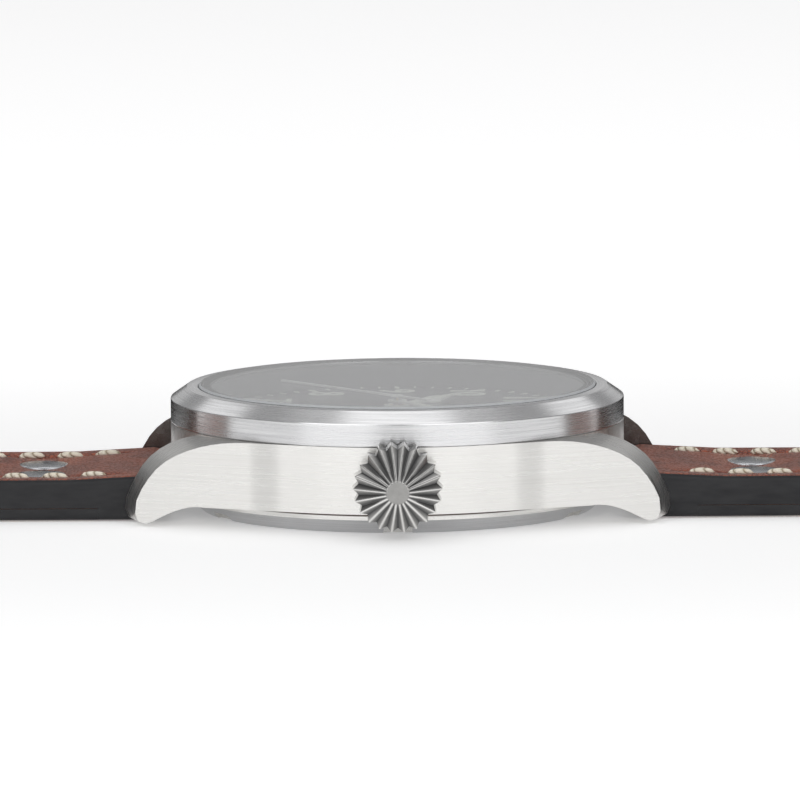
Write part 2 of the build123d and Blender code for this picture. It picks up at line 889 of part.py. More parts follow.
clutch_end = clutch_start + clutch_length
winding_end = winding_start + winding_length

with BuildPart() as main_plate:
    rod(movement_radius, plate_base, plate_top)
    tube(movement_radius, movement_radius - plate_rim, bridge_top, plate_base)
    bridge(barrel_bridge_outline, bridge_top - overrun, barrel_bridge_top, fit, Mode.SUBTRACT)
    barrel_tip = barrel_module * (barrel_teeth / 2 + 1)
    rod(barrel_tip + wheel_gap, plate_base - overrun, barrel_top + shake, barrel_at, Mode.SUBTRACT)
    rod(barrel_pivot_radius + run, plate_base, plate_top + overrun, barrel_at, Mode.SUBTRACT)
    centre_tip = barrel_module * (centre_leaves / 2 + 1)
    rod(centre_tip + wheel_gap, plate_base - overrun, plate_base + pinion_height, mode=Mode.SUBTRACT)
    rod(centre_arbor_radius + run, plate_base, plate_top + overrun, mode=Mode.SUBTRACT)
    for centre, room in (
        (third_at, pivot_length),
        (escape_at, pivot_length),
        (pallet_at, pivot_length),
        (balance_at, pivot_length),
    ):
        rod(pivot_radius + run, plate_base - overrun, plate_base + room + shake, centre, Mode.SUBTRACT)
    setting_tip = motion_module * (setting_teeth / 2 + 1)
    rod(setting_tip + wheel_gap, motion_level - wheel_gap, plate_top + overrun, setting_at, Mode.SUBTRACT)
    slot_side = winding_radius + wheel_gap
    plate(
        (
            (clutch_start - crown_pull, -slot_side),
            (winding_end + wheel_gap, -slot_side),
            (winding_end + wheel_gap, slot_side),
            (clutch_start - crown_pull, slot_side),
        ),
        plate_base - overrun,
        plate_top + overrun,
        mode=Mode.SUBTRACT,
    )
    side_rod(stem_radius + run, winding_end, movement_radius + overrun, mode=Mode.SUBTRACT)
    side_rod(stem_pivot_radius + run, stem_pivot_start - shake, clutch_start, mode=Mode.SUBTRACT)
    for centre in (minute_at, setting_at):
        rod(arbor_radius, plate_top - shake - wheel_gap, dial_seat - shake, centre)
    for angle in dial_foot_angles:
        foot = polar(dial_foot_reach, angle)
        foot_end = dial_seat - dial_foot_length - shake
        rod(dial_foot_radius + fit, foot_end, plate_top + overrun, foot, Mode.SUBTRACT)
    for angle in barrel_bridge_screws:
        screw_hole(angle, barrel_bridge_base, barrel_bridge_base + screw_length + shake)
    for angle in train_bridge_screws + (cock_foot_angle,):
        screw_hole(angle, bridge_base, bridge_base + screw_length + shake)
keep(main_plate, "main_plate")

groove_radius = contrate_radius + contrate_width
pinion_room = winding_radius + wheel_gap

with BuildPart() as barrel_bridge:
    bridge(barrel_bridge_outline, barrel_bridge_base, barrel_bridge_top)
    centre_room = centre_module * (centre_teeth / 2 + 1) + wheel_gap
    rod(centre_room + wheel_gap, barrel_bridge_base, barrel_bridge_top, mode=Mode.SUBTRACT)
    third_room = third_module * (third_teeth / 2 + 1) + wheel_gap
    rod(third_room, barrel_bridge_base, barrel_bridge_top, third_at, Mode.SUBTRACT)
    rod(barrel_arbor_radius + run, barrel_bridge_base, barrel_bridge_top, barrel_at, Mode.SUBTRACT)
    with BuildSketch(Plane.XY.offset(barrel_bridge_base)) as groove:
        with Locations(crown_wheel_at):
            Circle(groove_radius)
            Circle(contrate_radius - contrate_width, mode=Mode.SUBTRACT)
    extrude(groove.sketch, amount=contrate_top + shake - barrel_bridge_base, mode=Mode.SUBTRACT)
    plate(
        (
            (winding_start - wheel_gap, -pinion_room),
            (winding_end + wheel_gap, -pinion_room),
            (winding_end + wheel_gap, pinion_room),
            (winding_start - wheel_gap, pinion_room),
        ),
        barrel_bridge_base,
        barrel_bridge_top,
        mode=Mode.SUBTRACT,
    )
    plate(
        (
            (clutch_start - crown_pull, -pinion_room),
            (winding_start, -pinion_room),
            (winding_start, pinion_room),
            (clutch_start - crown_pull, pinion_room),
        ),
        stem_height - clutch_radius - wheel_gap,
        barrel_bridge_top,
        mode=Mode.SUBTRACT,
    )
    for angle in barrel_bridge_screws:
        screw_hole(angle, barrel_bridge_base, barrel_bridge_top)
    rod(arbor_radius + fit, barrel_bridge_base, barrel_bridge_top, click_at, Mode.SUBTRACT)
    rod(arbor_radius + run, barrel_bridge_base, barrel_bridge_top, reduction_at, Mode.SUBTRACT)
keep(barrel_bridge, "barrel_bridge")

with BuildPart() as train_bridge:
    bridge(train_bridge_outline, bridge_base, bridge_top)
    for centre in ((0, 0), third_at, escape_at):
        rod(jewel_radius + fit, bridge_base, bridge_top, centre, Mode.SUBTRACT)
    for angle in train_bridge_screws:
        screw_hole(angle, bridge_base, bridge_top)
keep(train_bridge, "train_bridge")

cock_foot = polar(cock_foot_reach, cock_foot_angle)

with BuildPart() as balance_cock:
    hull_plate(((balance_at, cock_head_radius), (cock_foot, cock_foot_radius)), bridge_base, bridge_top)
    rod(jewel_radius + fit, bridge_base, bridge_top, balance_at, Mode.SUBTRACT)
    screw_hole(cock_foot_angle, bridge_base, bridge_top)
keep(balance_cock, "balance_cock")

cock_line = bearing_of(escape_at, balance_at) - half_turn / 2
pallet_foot = polar(pallet_foot_reach, cock_line, pallet_at)

with BuildPart() as pallet_cock:
    hull_plate(((pallet_at, hub_radius), (pallet_foot, hub_radius)), cock_base, cock_top)
    rod(hub_radius - wheel_gap, cock_top, plate_base, pallet_foot)
    rod(jewel_radius + fit, cock_base, cock_top, pallet_at, Mode.SUBTRACT)
keep(pallet_cock, "pallet_cock")

with BuildPart() as jewels:
    for centre, base, top, hole in (
        ((0, 0), bridge_top - jewel_height, bridge_top, seconds_arbor_radius),
        (third_at, bridge_top - jewel_height, bridge_top, pivot_radius),
        (escape_at, bridge_top - jewel_height, bridge_top, pivot_radius),
        (balance_at, bridge_top - jewel_height, bridge_top, pivot_radius),
        (pallet_at, cock_base, cock_top, pivot_radius),
    ):
        tube(jewel_radius, hole + run, base, top, centre)
keep(jewels, "jewels")

with BuildPart() as rotor:
    rotor_top = rotor_base + rotor_web
    with BuildSketch(Plane.XY.offset(rotor_base)) as web:
        Circle(rotor_radius)
        with Locations(Rot(0, 0, rotor_angle + half_turn)):
            with Locations((rotor_radius, 0)):
                Rectangle(2 * rotor_radius, 2 * rotor_radius, mode=Mode.SUBTRACT)
        Circle(rotor_hub_radius)
    extrude(web.sketch, amount=rotor_web)
    with BuildSketch(Plane.XY.offset(rotor_base)) as weight:
        Circle(rotor_radius)
        Circle(rotor_radius - rotor_rim, mode=Mode.SUBTRACT)
        with Locations(Rot(0, 0, rotor_angle + half_turn)):
            with Locations((rotor_radius, 0)):
                Rectangle(2 * rotor_radius, 2 * rotor_radius, mode=Mode.SUBTRACT)
    extrude(weight.sketch, amount=rotor_rim_height)
    gear(rotor_teeth, rotor_module, rotor_phase, (0, 0), rotor_top, rotor_gear_height)
    rod(bearing_radius + run, rotor_base - overrun, rotor_top + overrun, mode=Mode.SUBTRACT)
keep(rotor, "rotor")

# The bearing ring and the screw that holds it to the bridge
with BuildPart() as rotor_bearing:
    tube(bearing_radius, bearing_bore_radius + fit, rotor_base, auto_bridge_base)
    head_base = (rotor_base + back_floor) / 2
    rod(bearing_radius + wheel_gap, head_base, rotor_base - fit)
    rod(bearing_bore_radius, head_base, auto_bridge_base + auto_bridge_thickness)
keep(rotor_bearing, "rotor_bearing")

auto_bridge_top = auto_bridge_base + auto_bridge_thickness

with BuildPart() as automatic_bridge:
    corners = [((0, 0), rotor_hub_radius)]
    corners += [(centre, auto_post_radius + wheel_gap) for centre in auto_posts]
    corners += [(centre, hub_radius) for centre in (reverser_at, reduction_at)]
    hull_plate(corners, auto_bridge_base, auto_bridge_top)
    rod(bearing_bore_radius + fit, auto_bridge_base, auto_bridge_top, mode=Mode.SUBTRACT)
    for centre in (reverser_at, reduction_at):
        rod(arbor_radius + run, auto_bridge_base, auto_bridge_top, centre, Mode.SUBTRACT)
    for centre in auto_posts:
        seat = bridge_base if centre[1] < 0 else barrel_bridge_base
        rod(auto_post_radius, auto_bridge_top, seat, centre)
keep(automatic_bridge, "automatic_bridge")

with BuildPart() as reverser_wheel:
    reverser_base = rotor_top + shake
    gear(rotor_teeth, rotor_module, 0, reverser_at, reverser_base, rotor_gear_height - shake)
    rod(arbor_radius + wheel_gap + run, reverser_base, auto_bridge_base - fit, reverser_at)
    bore_top = auto_bridge_base + overrun
    rod(arbor_radius + run, reverser_base - overrun, bore_top, reverser_at, Mode.SUBTRACT)
keep(reverser_wheel, "reverser_wheel")

reduction_base = auto_bridge_top + shake

with BuildPart() as reverser_pinion:
    pinion_top = reduction_base + rotor_gear_height
    gear(reverser_leaves, rotor_module, reverser_phase, reverser_at, reduction_base, rotor_gear_height)
    rod(arbor_radius, rotor_top + shake, pinion_top + wheel_thickness, reverser_at)
keep(reverser_pinion, "reverser_pinion")

with BuildPart() as reduction_wheel:
    gear(reduction_teeth, rotor_module, 0, reduction_at, reduction_base, wheel_thickness)
    pinion_base = reduction_base + wheel_thickness
    leaf_height = winding_level + winding_wheel_thickness - pinion_base
    gear(reduction_leaves, winding_module, reduction_phase, reduction_at, pinion_base, leaf_height)
    rod(arbor_radius, auto_bridge_base, barrel_bridge_base - fit, reduction_at)
keep(reduction_wheel, "reduction_wheel")


# Barrel, mainspring and the wheels that wind it

# The toothed drum and the cover that is snapped into it
with BuildPart() as barrel:
    gear(barrel_teeth, barrel_module, 0, barrel_at, barrel_base, barrel_floor)
    drum_top = barrel_top - barrel_floor
    tube(barrel_drum_radius, barrel_drum_radius - barrel_wall, barrel_base, drum_top, barrel_at)
    rod(barrel_arbor_radius + run, barrel_base - overrun, barrel_top, barrel_at, Mode.SUBTRACT)
    cover_base = barrel_top - barrel_floor + fit
    tube(barrel_drum_radius, barrel_pivot_radius + run, cover_base, barrel_top, barrel_at)
keep(barrel, "barrel")

with BuildPart() as barrel_arbor:
    rod(barrel_arbor_radius, winding_level, barrel_base + barrel_floor + shake, barrel_at)
    hub_top = barrel_top - barrel_floor - shake
    rod(barrel_hub_radius, barrel_base + barrel_floor + shake, hub_top, barrel_at)
    rod(barrel_pivot_radius, hub_top, plate_top - shake, barrel_at)
    head_top = winding_level - fit
    rod(barrel_arbor_radius + wheel_gap, head_top - screw_head_height, head_top, barrel_at)
keep(barrel_arbor, "barrel_arbor")

with BuildPart() as mainspring:
    spring_base = barrel_base + barrel_floor + shake
    spring_height = barrel_height - 2 * barrel_floor - 2 * shake
    pitch = spring_thickness + spring_gap
    coil(spring_start, pitch, spring_thickness, spring_half_turns, barrel_at, spring_base, spring_height)
mainspring_gap = coil_gap(spring_start, pitch, spring_thickness, spring_half_turns)
print("mainspring, least gap between turns in mm:", round(mainspring_gap, 3))
keep(mainspring, "mainspring")

with BuildPart() as ratchet_wheel:
    wheel_height = winding_wheel_thickness
    gear(ratchet_teeth, winding_module, 0, barrel_at, winding_level, wheel_height)
    wheel_top = winding_level + wheel_height
    rod(barrel_arbor_radius + fit, winding_level, wheel_top, barrel_at, Mode.SUBTRACT)
keep(ratchet_wheel, "ratchet_wheel")

with BuildPart() as crown_wheel:
    gear(crown_wheel_teeth, winding_module, crown_wheel_phase, crown_wheel_at, winding_level, wheel_height)
    with BuildSketch(Plane.XY.offset(winding_level + wheel_height)) as contrate_ring:
        with Locations(crown_wheel_at):
            Circle(contrate_radius + contrate_width / 2)
            Circle(contrate_radius - contrate_width / 2, mode=Mode.SUBTRACT)
    tooth_base = contrate_top - contrate_depth
    extrude(contrate_ring.sketch, amount=tooth_base - winding_level - wheel_height)
    with BuildSketch(Plane.XY.offset(tooth_base)) as contrate:
        with Locations(crown_wheel_at):
            with PolarLocations(contrate_radius, contrate_teeth):
                Rectangle(contrate_width, contrate_tooth)
    extrude(contrate.sketch, amount=contrate_depth)
    rod(arbor_radius + run, winding_level, winding_level + wheel_height, crown_wheel_at, Mode.SUBTRACT)
keep(crown_wheel, "crown_wheel")

with BuildPart() as click:
    with BuildSketch(Plane.XY.offset(winding_level)) as click_face:
        with Locations(click_at):
            Circle(click_radius)
        with Locations(click_tip):
            Circle(screw_slot)
        make_hull()
        with Locations(click_at):
            Circle(arbor_radius + run, mode=Mode.SUBTRACT)
    extrude(click_face.sketch, amount=winding_wheel_thickness)
keep(click, "click")

# Screws of the bridges, the core of the crown wheel and the pivot screw of the click
with BuildPart() as movement_screws:
    for angle in barrel_bridge_screws:
        screw(polar(screw_reach, angle), barrel_bridge_base)
    for angle in train_bridge_screws + (cock_foot_angle,):
        screw(polar(screw_reach, angle), bridge_base)
    core_seat = winding_level - shake
    screw(crown_wheel_at, core_seat, hub_radius, barrel_bridge_base - core_seat, arbor_radius)
    screw(click_at, core_seat, click_radius, barrel_bridge_top - core_seat, arbor_radius)
keep(movement_screws, "movement_screws")

with BuildPart() as winding_pinion:
    leaf_module = winding_radius / (winding_leaves / 2 + 0.9)
    with BuildSketch(cross_plane(winding_start)) as leaves:
        with BuildLine():
            bottom_gap = half_turn / winding_leaves - half_turn / 2
            Polyline(*tooth_points(winding_leaves, leaf_module, bottom_gap), close=True)
        make_face()
        Circle(stem_radius + run, mode=Mode.SUBTRACT)
    extrude(leaves.sketch, amount=winding_length)
keep(winding_pinion, "winding_pinion")

with BuildPart() as sliding_clutch:
    groove_start = clutch_start + (clutch_length - clutch_groove_width) / 2
    groove_end = groove_start + clutch_groove_width
    turned_on_stem(
        (
            (clutch_start, 0),
            (clutch_start, clutch_radius),
            (groove_start, clutch_radius),
            (groove_start, clutch_groove_radius),
            (groove_end, clutch_groove_radius),
            (groove_end, clutch_radius),
            (clutch_end, clutch_radius),
            (clutch_end, 0),
        )
    )
    with BuildSketch(cross_plane(clutch_start - overrun)) as square_hole:
        Rectangle(stem_square + 2 * run, stem_square + 2 * run)
    extrude(square_hole.sketch, amount=clutch_length + 2 * overrun, mode=Mode.SUBTRACT)
keep(sliding_clutch, "sliding_clutch")


# Going train


def train_wheel(centre, teeth, module, level, leaves, leaf_module, leaf_phase, leaf_base, leaf_height):
    """A spoked wheel with its pinion."""
    gear(teeth, module, 0, centre, level, wheel_thickness)
    spokes(teeth, module, centre, level)
    gear(leaves, leaf_module, leaf_phase, centre, leaf_base, leaf_height)


leaf_shift = (pinion_height - wheel_thickness) / 2

with BuildPart() as centre_wheel:
    leaf_base = centre_level + wheel_thickness
    train_wheel(
        (0, 0),
        centre_teeth,
        centre_module,
        centre_level,
        centre_leaves,
        barrel_module,
        centre_phase,
        leaf_base,
        barrel_base + barrel_floor - leaf_base,
    )
    rod(centre_arbor_radius, centre_level - wheel_gap / 2, minute_level)
    rod(centre_bore_radius, centre_level - overrun, minute_level + overrun, mode=Mode.SUBTRACT)
keep(centre_wheel, "centre_wheel")

with BuildPart() as third_wheel:
    train_wheel(
        third_at,
        third_teeth,
        third_module,
        third_level,
        third_leaves,
        centre_module,
        third_phase,
        centre_level - leaf_shift,
        pinion_height,
    )
    arbor(third_at, bridge_top + shake, plate_base - shake)
keep(third_wheel, "third_wheel")

with BuildPart() as fourth_wheel:
    train_wheel(
        (0, 0),
        fourth_teeth,
        fourth_module,
        fourth_level,
        fourth_leaves,
        third_module,
        fourth_phase,
        fourth_level + wheel_thickness,
        third_level + wheel_thickness - fourth_level - wheel_thickness + shake,
    )
    rod(seconds_arbor_radius, bridge_top - jewel_height, seconds_level + hand_thickness)
keep(fourth_wheel, "fourth_wheel")

with BuildPart() as escape_wheel:
    with BuildSketch(Plane((escape_at[0], escape_at[1], escape_level))) as escape_face:
        step = full_turn / escape_teeth
        root_radius = escape_radius * escape_root_share
        corner_shares = ((root_radius, -0.42), (escape_radius, -0.06), (escape_radius, 0.06), (root_radius, 0.2))
        with BuildLine():
            Polyline(
                *[
                    polar(radius, balance_angle + (i + share) * step)
                    for i in range(escape_teeth)
                    for radius, share in corner_shares
                ],
                close=True,
            )
        make_face()
        Circle(root_radius - rim_width, mode=Mode.SUBTRACT)
        with PolarLocations(root_radius / 2, spoke_count):
            Rectangle(root_radius, spoke_width)
        Circle(hub_radius / 2)
    extrude(escape_face.sketch, amount=wheel_thickness)
    leaf_base = fourth_level - leaf_shift
    gear(escape_leaves, fourth_module, escape_phase, escape_at, leaf_base, pinion_height)
    arbor(escape_at, bridge_top + fit, plate_base - shake)
keep(escape_wheel, "escape_wheel")

# The fork's own plane has its origin on the pallet arbor and +X towards the balance
fork_plane = Plane(
    (pallet_at[0], pallet_at[1], escape_level),
    x_dir=(cos(radians(balance_angle)), sin(radians(balance_angle)), 0),
    z_dir=(0, 0, 1),
)
stone_x = stone_reach * cos(radians(stone_angle)) - pallet_reach
stone_y = stone_reach * sin(radians(stone_angle))
roller_reach = balance_reach - pallet_reach
pin_x = roller_reach - impulse_pin_reach


def link(plane, circles, height):
    """A flat form stretched round a set of (centre, radius) circles on any plane."""
    with BuildSketch(plane) as outline:
        for centre, radius in circles:
            with Locations(centre):
                Circle(radius)
        make_hull()
    extrude(outline.sketch, amount=height)


with BuildPart() as pallet_fork:
    link(fork_plane, (((0, 0), spoke_width), ((pin_x - fork_width / 2, 0), stone_width)), wheel_thickness)
    for way in (-1, 1):
        stone_end = (stone_x + stone_length, way * stone_y)
        link(fork_plane, (((0, 0), spoke_width), (stone_end, stone_width)), wheel_thickness)
    with BuildSketch(fork_plane) as horns:
        with Locations((pin_x, 0)):
            Rectangle(fork_width, fork_width)
    extrude(horns.sketch, amount=wheel_thickness)
    with BuildSketch(fork_plane) as openings:
        with Locations((pin_x + stone_width, 0)):
            Rectangle(fork_width, 2 * impulse_pin_radius + wheel_gap)
        with Locations((pin_x + fork_width / 2, 0)):
            Rectangle(stone_width, fork_width + overrun)
        for way in (-1, 1):
            with Locations((stone_x + stone_length / 2, way * stone_y)):
                Rectangle(stone_length + 2 * fit, stone_width + 2 * fit)
    extrude(openings.sketch, amount=wheel_thickness, mode=Mode.SUBTRACT)
    arbor(pallet_at, cock_top + fit, plate_base - shake, pallet_cock_thickness)
keep(pallet_fork, "pallet_fork")

with BuildPart() as pallet_stones:
    with BuildSketch(fork_plane) as stones:
        for way in (-1, 1):
            with Locations((stone_x + stone_length / 2, way * stone_y)):
                Rectangle(stone_length, stone_width)
    extrude(stones.sketch, amount=wheel_thickness)
keep(pallet_stones, "pallet_stones")

with BuildPart() as balance:
    rim_inside = balance_radius - balance_rim
    rim_top = balance_level + balance_rim_height
    tube(balance_radius, rim_inside, balance_level, rim_top, balance_at)
    with BuildSketch(Plane((balance_at[0], balance_at[1], balance_level))) as arms:
        Rectangle(2 * rim_inside + balance_rim, spoke_width)
        Circle(hub_radius / 2)
    extrude(arms.sketch, amount=balance_rim_height)
    rod(staff_radius, bridge_top + fit, plate_base - shake, balance_at)
    rod(pivot_radius, bridge_top - jewel_height, plate_base + pivot_length, balance_at)
    rod(roller_radius, roller_level, roller_level + roller_height, balance_at)
    pin_at = polar(impulse_pin_reach, balance_angle + half_turn, balance_at)
    rod(impulse_pin_radius, roller_level, plate_base - shake, pin_at)
keep(balance, "balance")

# Hairspring with the collet at its inner end and the stud at its outer end
with BuildPart() as hairspring:
    pitch = hairspring_thickness + hairspring_gap
    spring_base = bridge_top + shake
    spring_line = bearing_of(balance_at, cock_foot) + half_turn
    spring_values = (hairspring_start, pitch, hairspring_thickness, hairspring_half_turns)
    outer_radius = coil(*spring_values, balance_at, spring_base, hairspring_height, spring_line)
    tube(hub_radius / 2, staff_radius + run, spring_base, spring_base + hairspring_height, balance_at)
    inner_end = polar(hairspring_start, spring_line, balance_at)
    collet_edge = polar(hub_radius / 2 - shake, spring_line, balance_at)
    with BuildSketch(Plane.XY.offset(spring_base)) as bent_end:
        with Locations(collet_edge, inner_end):
            Circle(hairspring_thickness / 2)
        make_hull()
    extrude(bent_end.sketch, amount=hairspring_height)
    stud_at = polar(outer_radius, spring_line + half_turn, balance_at)
    rod(arbor_radius, bridge_top, spring_base + hairspring_height, stud_at)
print("hairspring, least gap between turns in mm:", round(coil_gap(*spring_values), 3))
keep(hairspring, "hairspring")


# Motion work, dial and hands

with BuildPart() as cannon_pinion:
    gear(cannon_leaves, motion_module, 0, (0, 0), motion_level, wheel_thickness)
    rod(cannon_radius, motion_level, minute_level + hand_thickness)
    rod(centre_arbor_radius + fit, motion_level - overrun, minute_level + overrun, mode=Mode.SUBTRACT)
keep(cannon_pinion, "cannon_pinion")

with BuildPart() as minute_wheel:
    gear(minute_teeth, motion_module, minute_phase, minute_at, motion_level, wheel_thickness)
    leaf_base = motion_level + wheel_thickness
    leaf_top = motion_step + wheel_thickness
    gear(minute_leaves, motion_module, 0, minute_at, leaf_base, leaf_top - leaf_base)
    rod(arbor_radius + run, motion_level - overrun, leaf_top + overrun, minute_at, Mode.SUBTRACT)
keep(minute_wheel, "minute_wheel")

with BuildPart() as hour_wheel:
    gear(hour_teeth, motion_module, hour_phase, (0, 0), motion_step, wheel_thickness)
    rod(hour_pipe_radius, motion_step, hour_level + hand_thickness)
    rod(cannon_radius + run, motion_step - overrun, hour_level + overrun, mode=Mode.SUBTRACT)
keep(hour_wheel, "hour_wheel")

with BuildPart() as setting_wheel:
    gear(setting_teeth, motion_module, setting_phase, setting_at, motion_level, wheel_thickness)
    rod(arbor_radius + run, motion_level - overrun, motion_level + overrun, setting_at, Mode.SUBTRACT)
keep(setting_wheel, "setting_wheel")

with BuildPart() as dial:
    tube(dial_radius, dial_hole_radius, dial_seat, dial_top)
    for angle in dial_foot_angles:
        rod(dial_foot_radius, dial_seat - dial_foot_length, dial_seat, polar(dial_foot_reach, angle))
keep(dial, "dial")


def hand_plane(level, angle):
    """A flat plane whose X points along a hand at an angle from twelve o'clock."""
    return Plane((0, 0, level), x_dir=(sin(radians(angle)), cos(radians(angle)), 0), z_dir=(0, 0, 1))


def lozenge_hand(length, width, level, angle, pipe):
    """A hand that widens from its hub to a wide third quarter and ends in a point."""
    side = [(place * length, share * width / 2) for place, share in hand_shares]
    with BuildSketch(hand_plane(level, angle)) as blade:
        with BuildLine():
            Polyline(*side, *[(x, -y) for x, y in reversed(side[:-1])], close=True)
        make_face()
        Circle(pipe + hand_hub)
        Circle(pipe + fit, mode=Mode.SUBTRACT)
    extrude(blade.sketch, amount=hand_thickness)


with BuildPart() as hour_hand:
    lozenge_hand(hour_hand_length, hour_hand_width, hour_level, hour_hand_angle, hour_pipe_radius)
keep(hour_hand, "hour_hand")

with BuildPart() as minute_hand:
    lozenge_hand(minute_hand_length, minute_hand_width, minute_level, minute_hand_angle, cannon_radius)
keep(minute_hand, "minute_hand")

with BuildPart() as seconds_hand:
    with BuildSketch(hand_plane(seconds_level, seconds_hand_angle)) as needle:
        with Locations(((seconds_hand_length - seconds_hand_tail) / 2, 0)):
            Rectangle(seconds_hand_length + seconds_hand_tail, seconds_hand_width)
        with Locations((-seconds_hand_tail, 0)):
            Circle(2 * seconds_hand_width)
        Circle(seconds_arbor_radius + hand_hub)
        Circle(seconds_arbor_radius + fit, mode=Mode.SUBTRACT)
    extrude(needle.sketch, amount=hand_thickness)
keep(seconds_hand, "seconds_hand")


# Strap: an upper leather that is folded round its bar, on a lining

bar_level = strap_lift + strap_thin / 2
flat_top = strap_bottom + strap_thickness
thin_top = strap_lift + strap_thin
strap_tip_shares = ((0.35, 0.94), (0.62, 0.78), (0.83, 0.54), (0.96, 0.26), (1.0, 0.1))


def strap_plane(end, height=0, upright=True):
    """A plane under the spring bar of one half, with its X away from the case."""
    up = (end, 0, 0) if upright else (0, 0, 1)
    return Plane((0, end * bar_reach, height), x_dir=(0, end, 0), z_dir=up)


def half_width(reach, length):
    """Half the strap's width at a distance from the spring bar."""
    return (strap_width + (strap_end_width - strap_width) * max(reach, 0) / length) / 2


def strap_outline(end, length, pointed):
    """Cut a strap piece to its outline in plan."""
    inner = -strap_wrap_radius - overrun
    if pointed:
        start = length - strap_point
        side = [(start, half_width(start, length))]
        side += [(start + place * strap_point, share * strap_end_width / 2) for place, share in strap_tip_shares]
    else:
        side = [(length + buckle_wrap_radius + overrun, strap_end_width / 2)]
    side = [(inner, half_width(inner, length)), (0, half_width(0, length))] + side
    with BuildSketch(strap_plane(end, -overrun, False)) as plan:
        with BuildLine():
            Polyline(*side, *[(x, -y) for x, y in reversed(side)], close=True)
        make_face()
    room = bar_height + strap_wrap_radius + 2 * overrun
    extrude(plan.sketch, amount=room, mode=Mode.INTERSECT)


def strap_holes(end, length):
    """Cut the row of holes that the tongue goes through."""
    room = bar_height + strap_wrap_radius
    for i in range(hole_count):
        reach = length - hole_from_end - i * hole_pitch
        rod(hole_radius, -overrun, room, (0, end * (bar_reach + reach)), Mode.SUBTRACT)


def rivet_places(end):
    """Where the two rivets of one half stand."""
    return [(side * rivet_spread, end * (bar_reach + rivet_reach)) for side in (-1, 1)]


def upper_leather(end, length, buckled):
    """One half's upper leather: it goes round the spring bar, and round the buckle bar at the other end."""
    lining_level = strap_bottom + lining_thickness
    lining_thin = strap_lift + lining_thickness
    if buckled:
        tail = [(length, strap_lift), (length - lining_start, strap_lift)]
        tail += [(length - lining_start, lining_thin)]
    else:
        tail = [(length, lining_thin)]
    wrap_base = (0, bar_height - strap_wrap_radius)
    wrap_top = (0, bar_height + strap_wrap_radius)
    with BuildSketch(strap_plane(end)) as side:
        with BuildLine():
            ThreePointArc(wrap_base, (-strap_wrap_radius, bar_height), wrap_top)
            Polyline(
                wrap_top,
                (strap_shoulder, flat_top),
                (strap_taper_start, flat_top),
                (strap_taper_end, thin_top),
                (length, thin_top),
                *tail,
                (strap_taper_end, lining_thin),
                (strap_taper_start, lining_level),
                (lining_start, lining_level),
                (lining_start, strap_bottom),
                (bar_radius, strap_bottom),
                wrap_base,
            )
        make_face()
        if buckled:
            with Locations((length, bar_level)):
                Circle(buckle_wrap_radius)
    extrude(side.sketch, amount=strap_width, both=True)
    strap_outline(end, length, not buckled)
    tunnel = strap_width / 2 + overrun
    side_rod(bar_radius + shake, -tunnel, tunnel, end * bar_reach, bar_height, Mode.SUBTRACT)
    for centre in rivet_places(end):
        rod(rivet_shank + fit, lining_level, flat_top + overrun, centre, Mode.SUBTRACT)


def lining_leather(end, length, buckled):
    """The lining under one half."""
    lining_level = strap_bottom + lining_thickness
    lining_thin = strap_lift + lining_thickness
    finish = length - lining_start if buckled else length
    with BuildSketch(strap_plane(end)) as side:
        with BuildLine():
            Polyline(
                (lining_start, strap_bottom),
                (strap_taper_start, strap_bottom),
                (strap_taper_end, strap_lift),
                (finish, strap_lift),
                (finish, lining_thin),
                (strap_taper_end, lining_thin),
                (strap_taper_start, lining_level),
                (lining_start, lining_level),
                close=True,
            )
        make_face()
    extrude(side.sketch, amount=strap_width, both=True)
    strap_outline(end, length, not buckled)


def rivet_pair(end):
    """Two domed rivets whose shanks stand in the upper leather."""
    low = flat_top - strap_thickness + lining_thickness
    for centre in rivet_places(end):
        turned(
            (
                (0, low + shake),
                (rivet_shank, low + shake),
                (rivet_shank, flat_top),
                (rivet_radius, flat_top),
                (rivet_radius, flat_top + rivet_rim),
                (rivet_radius - rivet_slope, flat_top + rivet_dome),
                (0, flat_top + rivet_dome),
            ),
            centre,
        )


buckle_y = bar_reach + short_length

with BuildPart() as strap_short:
    upper_leather(1, short_length, True)
    tunnel = strap_width / 2 + overrun
    side_rod(buckle_bar_radius + shake, -tunnel, tunnel, buckle_y, bar_level, Mode.SUBTRACT)
    with BuildSketch(Plane((0, buckle_y, 0))) as slot:
        with Locations((0, overrun)):
            Rectangle(tongue_slot, 2 * tongue_slot_length)
    extrude(slot.sketch, amount=thin_top + overrun, mode=Mode.SUBTRACT)
keep(strap_short, "strap_short")

with BuildPart() as strap_long:
    upper_leather(-1, long_length, False)
    strap_holes(-1, long_length)
keep(strap_long, "strap_long")

with BuildPart() as lining_short:
    lining_leather(1, short_length, True)
keep(lining_short, "lining_short")

with BuildPart() as lining_long:
    lining_leather(-1, long_length, False)
    strap_holes(-1, long_length)
keep(lining_long, "lining_long")

with BuildPart() as rivets_short:
    rivet_pair(1)
keep(rivets_short, "rivets_short")

with BuildPart() as rivets_long:
    rivet_pair(-1)
keep(rivets_long, "rivets_long")


# Buckle and keepers

buckle_inside = strap_end_width / 2 + buckle_side_gap
buckle_outside = buckle_inside + buckle_arm
buckle_base = bar_level - buckle_thickness / 2
buckle_top = buckle_base + buckle_thickness


def buckle_slab(half, near, far, near_radius, far_radius, mode=Mode.ADD):
    """A flat form with round corners, between two distances past the buckle bar."""
    with BuildSketch(Plane((0, buckle_y, buckle_base))) as slab:
        for side in (-1, 1):
            with Locations((side * (half - near_radius), near + near_radius)):
                Circle(near_radius)
            with Locations((side * (half - far_radius), far - far_radius)):
                Circle(far_radius)
        make_hull()
    extrude(slab.sketch, amount=buckle_thickness, mode=mode)


